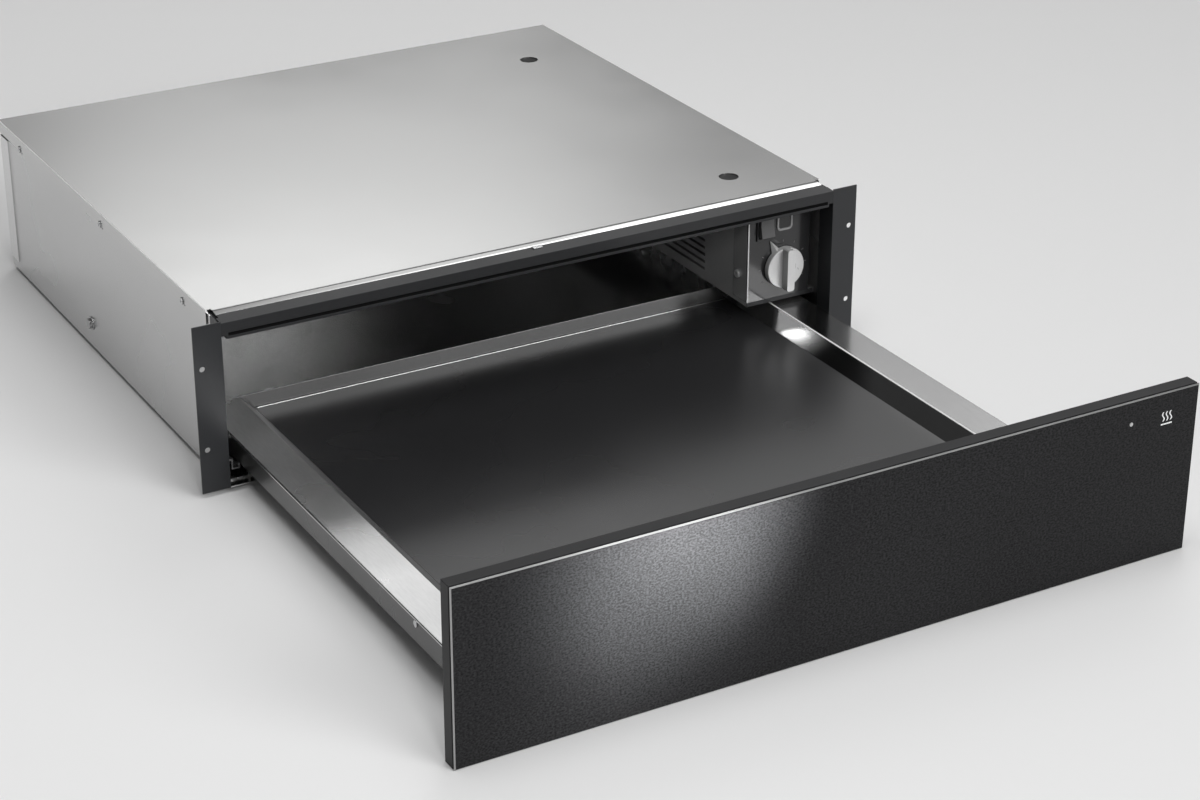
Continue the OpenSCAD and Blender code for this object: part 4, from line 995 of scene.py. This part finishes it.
def makeSkyPanel():
    # an upright soft panel, bounded at its two sides, its foot and its top
    tree, given, out = newGroup(
        "skyPanel",
        [("Direction", "Vector", (0.0, 0.0, 1.0)), ("Toward", "Vector", (0.0, 1.0, 0.0)),
         ("Across", "Vector", (1.0, 0.0, 0.0)), ("Inner", "Float", 0.05), ("Outer", "Float", 0.15),
         ("Low", "Float", 0.3), ("High", "Float", 0.4), ("Top", "Float", 1.2)],
        [("Mask", "Float")])
    soft = dict(interpolation_type="SMOOTHSTEP")
    facing = addNode(tree, "VectorMath", (-800, 300), operation="DOT_PRODUCT")
    ahead = addNode(tree, "MapRange", (-400, 300), {"From Max": sky["aheadSoftness"]}, **soft)
    aside = addNode(tree, "VectorMath", (-800, 0), operation="DOT_PRODUCT")
    width = addNode(tree, "Math", (-600, 0), operation="ABSOLUTE")
    sides = addNode(tree, "MapRange", (-400, 0), **soft)
    height = addNode(tree, "SeparateXYZ", (-800, -300))
    foot = addNode(tree, "MapRange", (-400, -300), **soft)
    above = addNode(tree, "Math", (-600, -750), {1: sky["topSoftness"]}, operation="ADD")
    lintel = addNode(tree, "MapRange", (-400, -600), {"To Min": 1.0, "To Max": 0.0}, **soft)
    first = addNode(tree, "Math", (-100, 150), operation="MULTIPLY")
    both = addNode(tree, "Math", (150, 0), operation="MULTIPLY")
    capped = addNode(tree, "Math", (350, -200), operation="MULTIPLY")
    wire(tree, (given, "Direction", facing, 0), (given, "Toward", facing, 1),
         (facing, "Value", ahead, "Value"), (given, "Direction", aside, 0),
         (given, "Across", aside, 1), (aside, "Value", width, 0), (width, 0, sides, "Value"),
         (given, "Outer", sides, "From Min"), (given, "Inner", sides, "From Max"),
         (given, "Direction", height, 0), (height, "Z", foot, "Value"),
         (given, "Low", foot, "From Min"), (given, "High", foot, "From Max"),
         (height, "Z", lintel, "Value"), (given, "Top", lintel, "From Min"),
         (given, "Top", above, 0), (above, 0, lintel, "From Max"))
    wire(tree, (ahead, "Result", first, 0), (sides, "Result", first, 1), (first, 0, both, 0),
         (foot, "Result", both, 1), (both, 0, capped, 0), (lintel, "Result", capped, 1),
         (capped, 0, out, "Mask"))
    return tree


def panelInputs(light):
    turn = math.radians(light["azimuth"])
    low, high = light["lift"]
    return {"Toward": (math.sin(turn), math.cos(turn), 0.0),
            "Across": (math.cos(turn), -math.sin(turn), 0.0),
            "Inner": math.sin(math.radians(light["inner"])),
            "Outer": math.sin(math.radians(light["outer"])),
            "Low": low, "High": high, "Top": light["top"]}


def patchInputs(light):
    return {"Toward": Vector(light["toward"]).normalized(),
            "Rim": math.cos(math.radians(light["rim"])),
            "Middle": math.cos(math.radians(light["middle"]))}


def makeWorld():
    skyPatch, skyPanel = makeSkyPatch(), makeSkyPanel()
    world = bpy.data.worlds.new("studioSky")
    scene.world = world
    world.use_nodes = True
    tree = world.node_tree
    coords = addNode(tree, "TexCoord", (-1300, 0))
    split = addNode(tree, "SeparateXYZ", (-1000, 200))
    rise = addNode(tree, "ValToRGB", (-750, 200))
    stops = rise.color_ramp.elements
    while len(stops) < len(sky["rise"]):
        stops.new(1.0)
    for stop, (height, tone) in zip(stops, sky["rise"]):
        stop.position = height
        stop.color = asColor(tone)
    wire(tree, (coords, "Generated", split, 0), (split, "Z", rise, "Fac"))
    total, output = rise, "Color"
    lights = [(skyPanel, panelInputs(light), light["gain"]) for light in sky["panels"]]
    lights += [(skyPatch, patchInputs(light), light["gain"]) for light in sky["patches"]]
    for index, (group, inputs, strength) in enumerate(lights):
        soft = addNode(tree, "Group", (-750, -150 - 250 * index), inputs, node_tree=group)
        gain = addNode(tree, "VectorMath", (-450 + 200 * index, -100), {1: (strength,) * 3},
                       operation="MULTIPLY_ADD")
        wire(tree, (coords, "Generated", soft, "Direction"), (soft, "Mask", gain, 0),
             (total, output, gain, 2))
        total, output = gain, 0
    wire(tree, (total, output, tree.nodes["Background"], "Color"))


def placeLamp(name, data, plan):
    lamp = bpy.data.objects.new(name, data)
    lamp.location = plan["place"]
    aim = Vector(plan["target"]) - Vector(plan["place"])
    lamp.rotation_euler = aim.to_track_quat("-Z", "Y").to_euler()
    scene.collection.objects.link(lamp)
    return lamp


def makeSoftbox(name, plan):
    data = bpy.data.lights.new(name, "AREA")
    data.shape = "RECTANGLE"
    data.size, data.size_y = plan["size"]
    data.energy = plan["watts"]
    placeLamp(name, data, plan)


def makeNarrowLamp(name, plan):
    data = bpy.data.lights.new(name, "SPOT")
    data.spot_size = math.radians(plan["cone"])
    data.spot_blend = 1.0
    data.shadow_soft_size = plan["radius"]
    data.energy = plan["watts"]
    lit = bpy.data.collections.new(name + "Lit")
    lit.objects.link(bpy.data.objects[plan["onlyOn"]])
    lamp = placeLamp(name, data, plan)
    lamp.light_linking.receiver_collection = lit


makeFloor()
makeWorld()
for name, plan in softboxes.items():
    makeSoftbox(name, plan)
for name, plan in narrowLamps.items():
    makeNarrowLamp(name, plan)
print("studio lit")
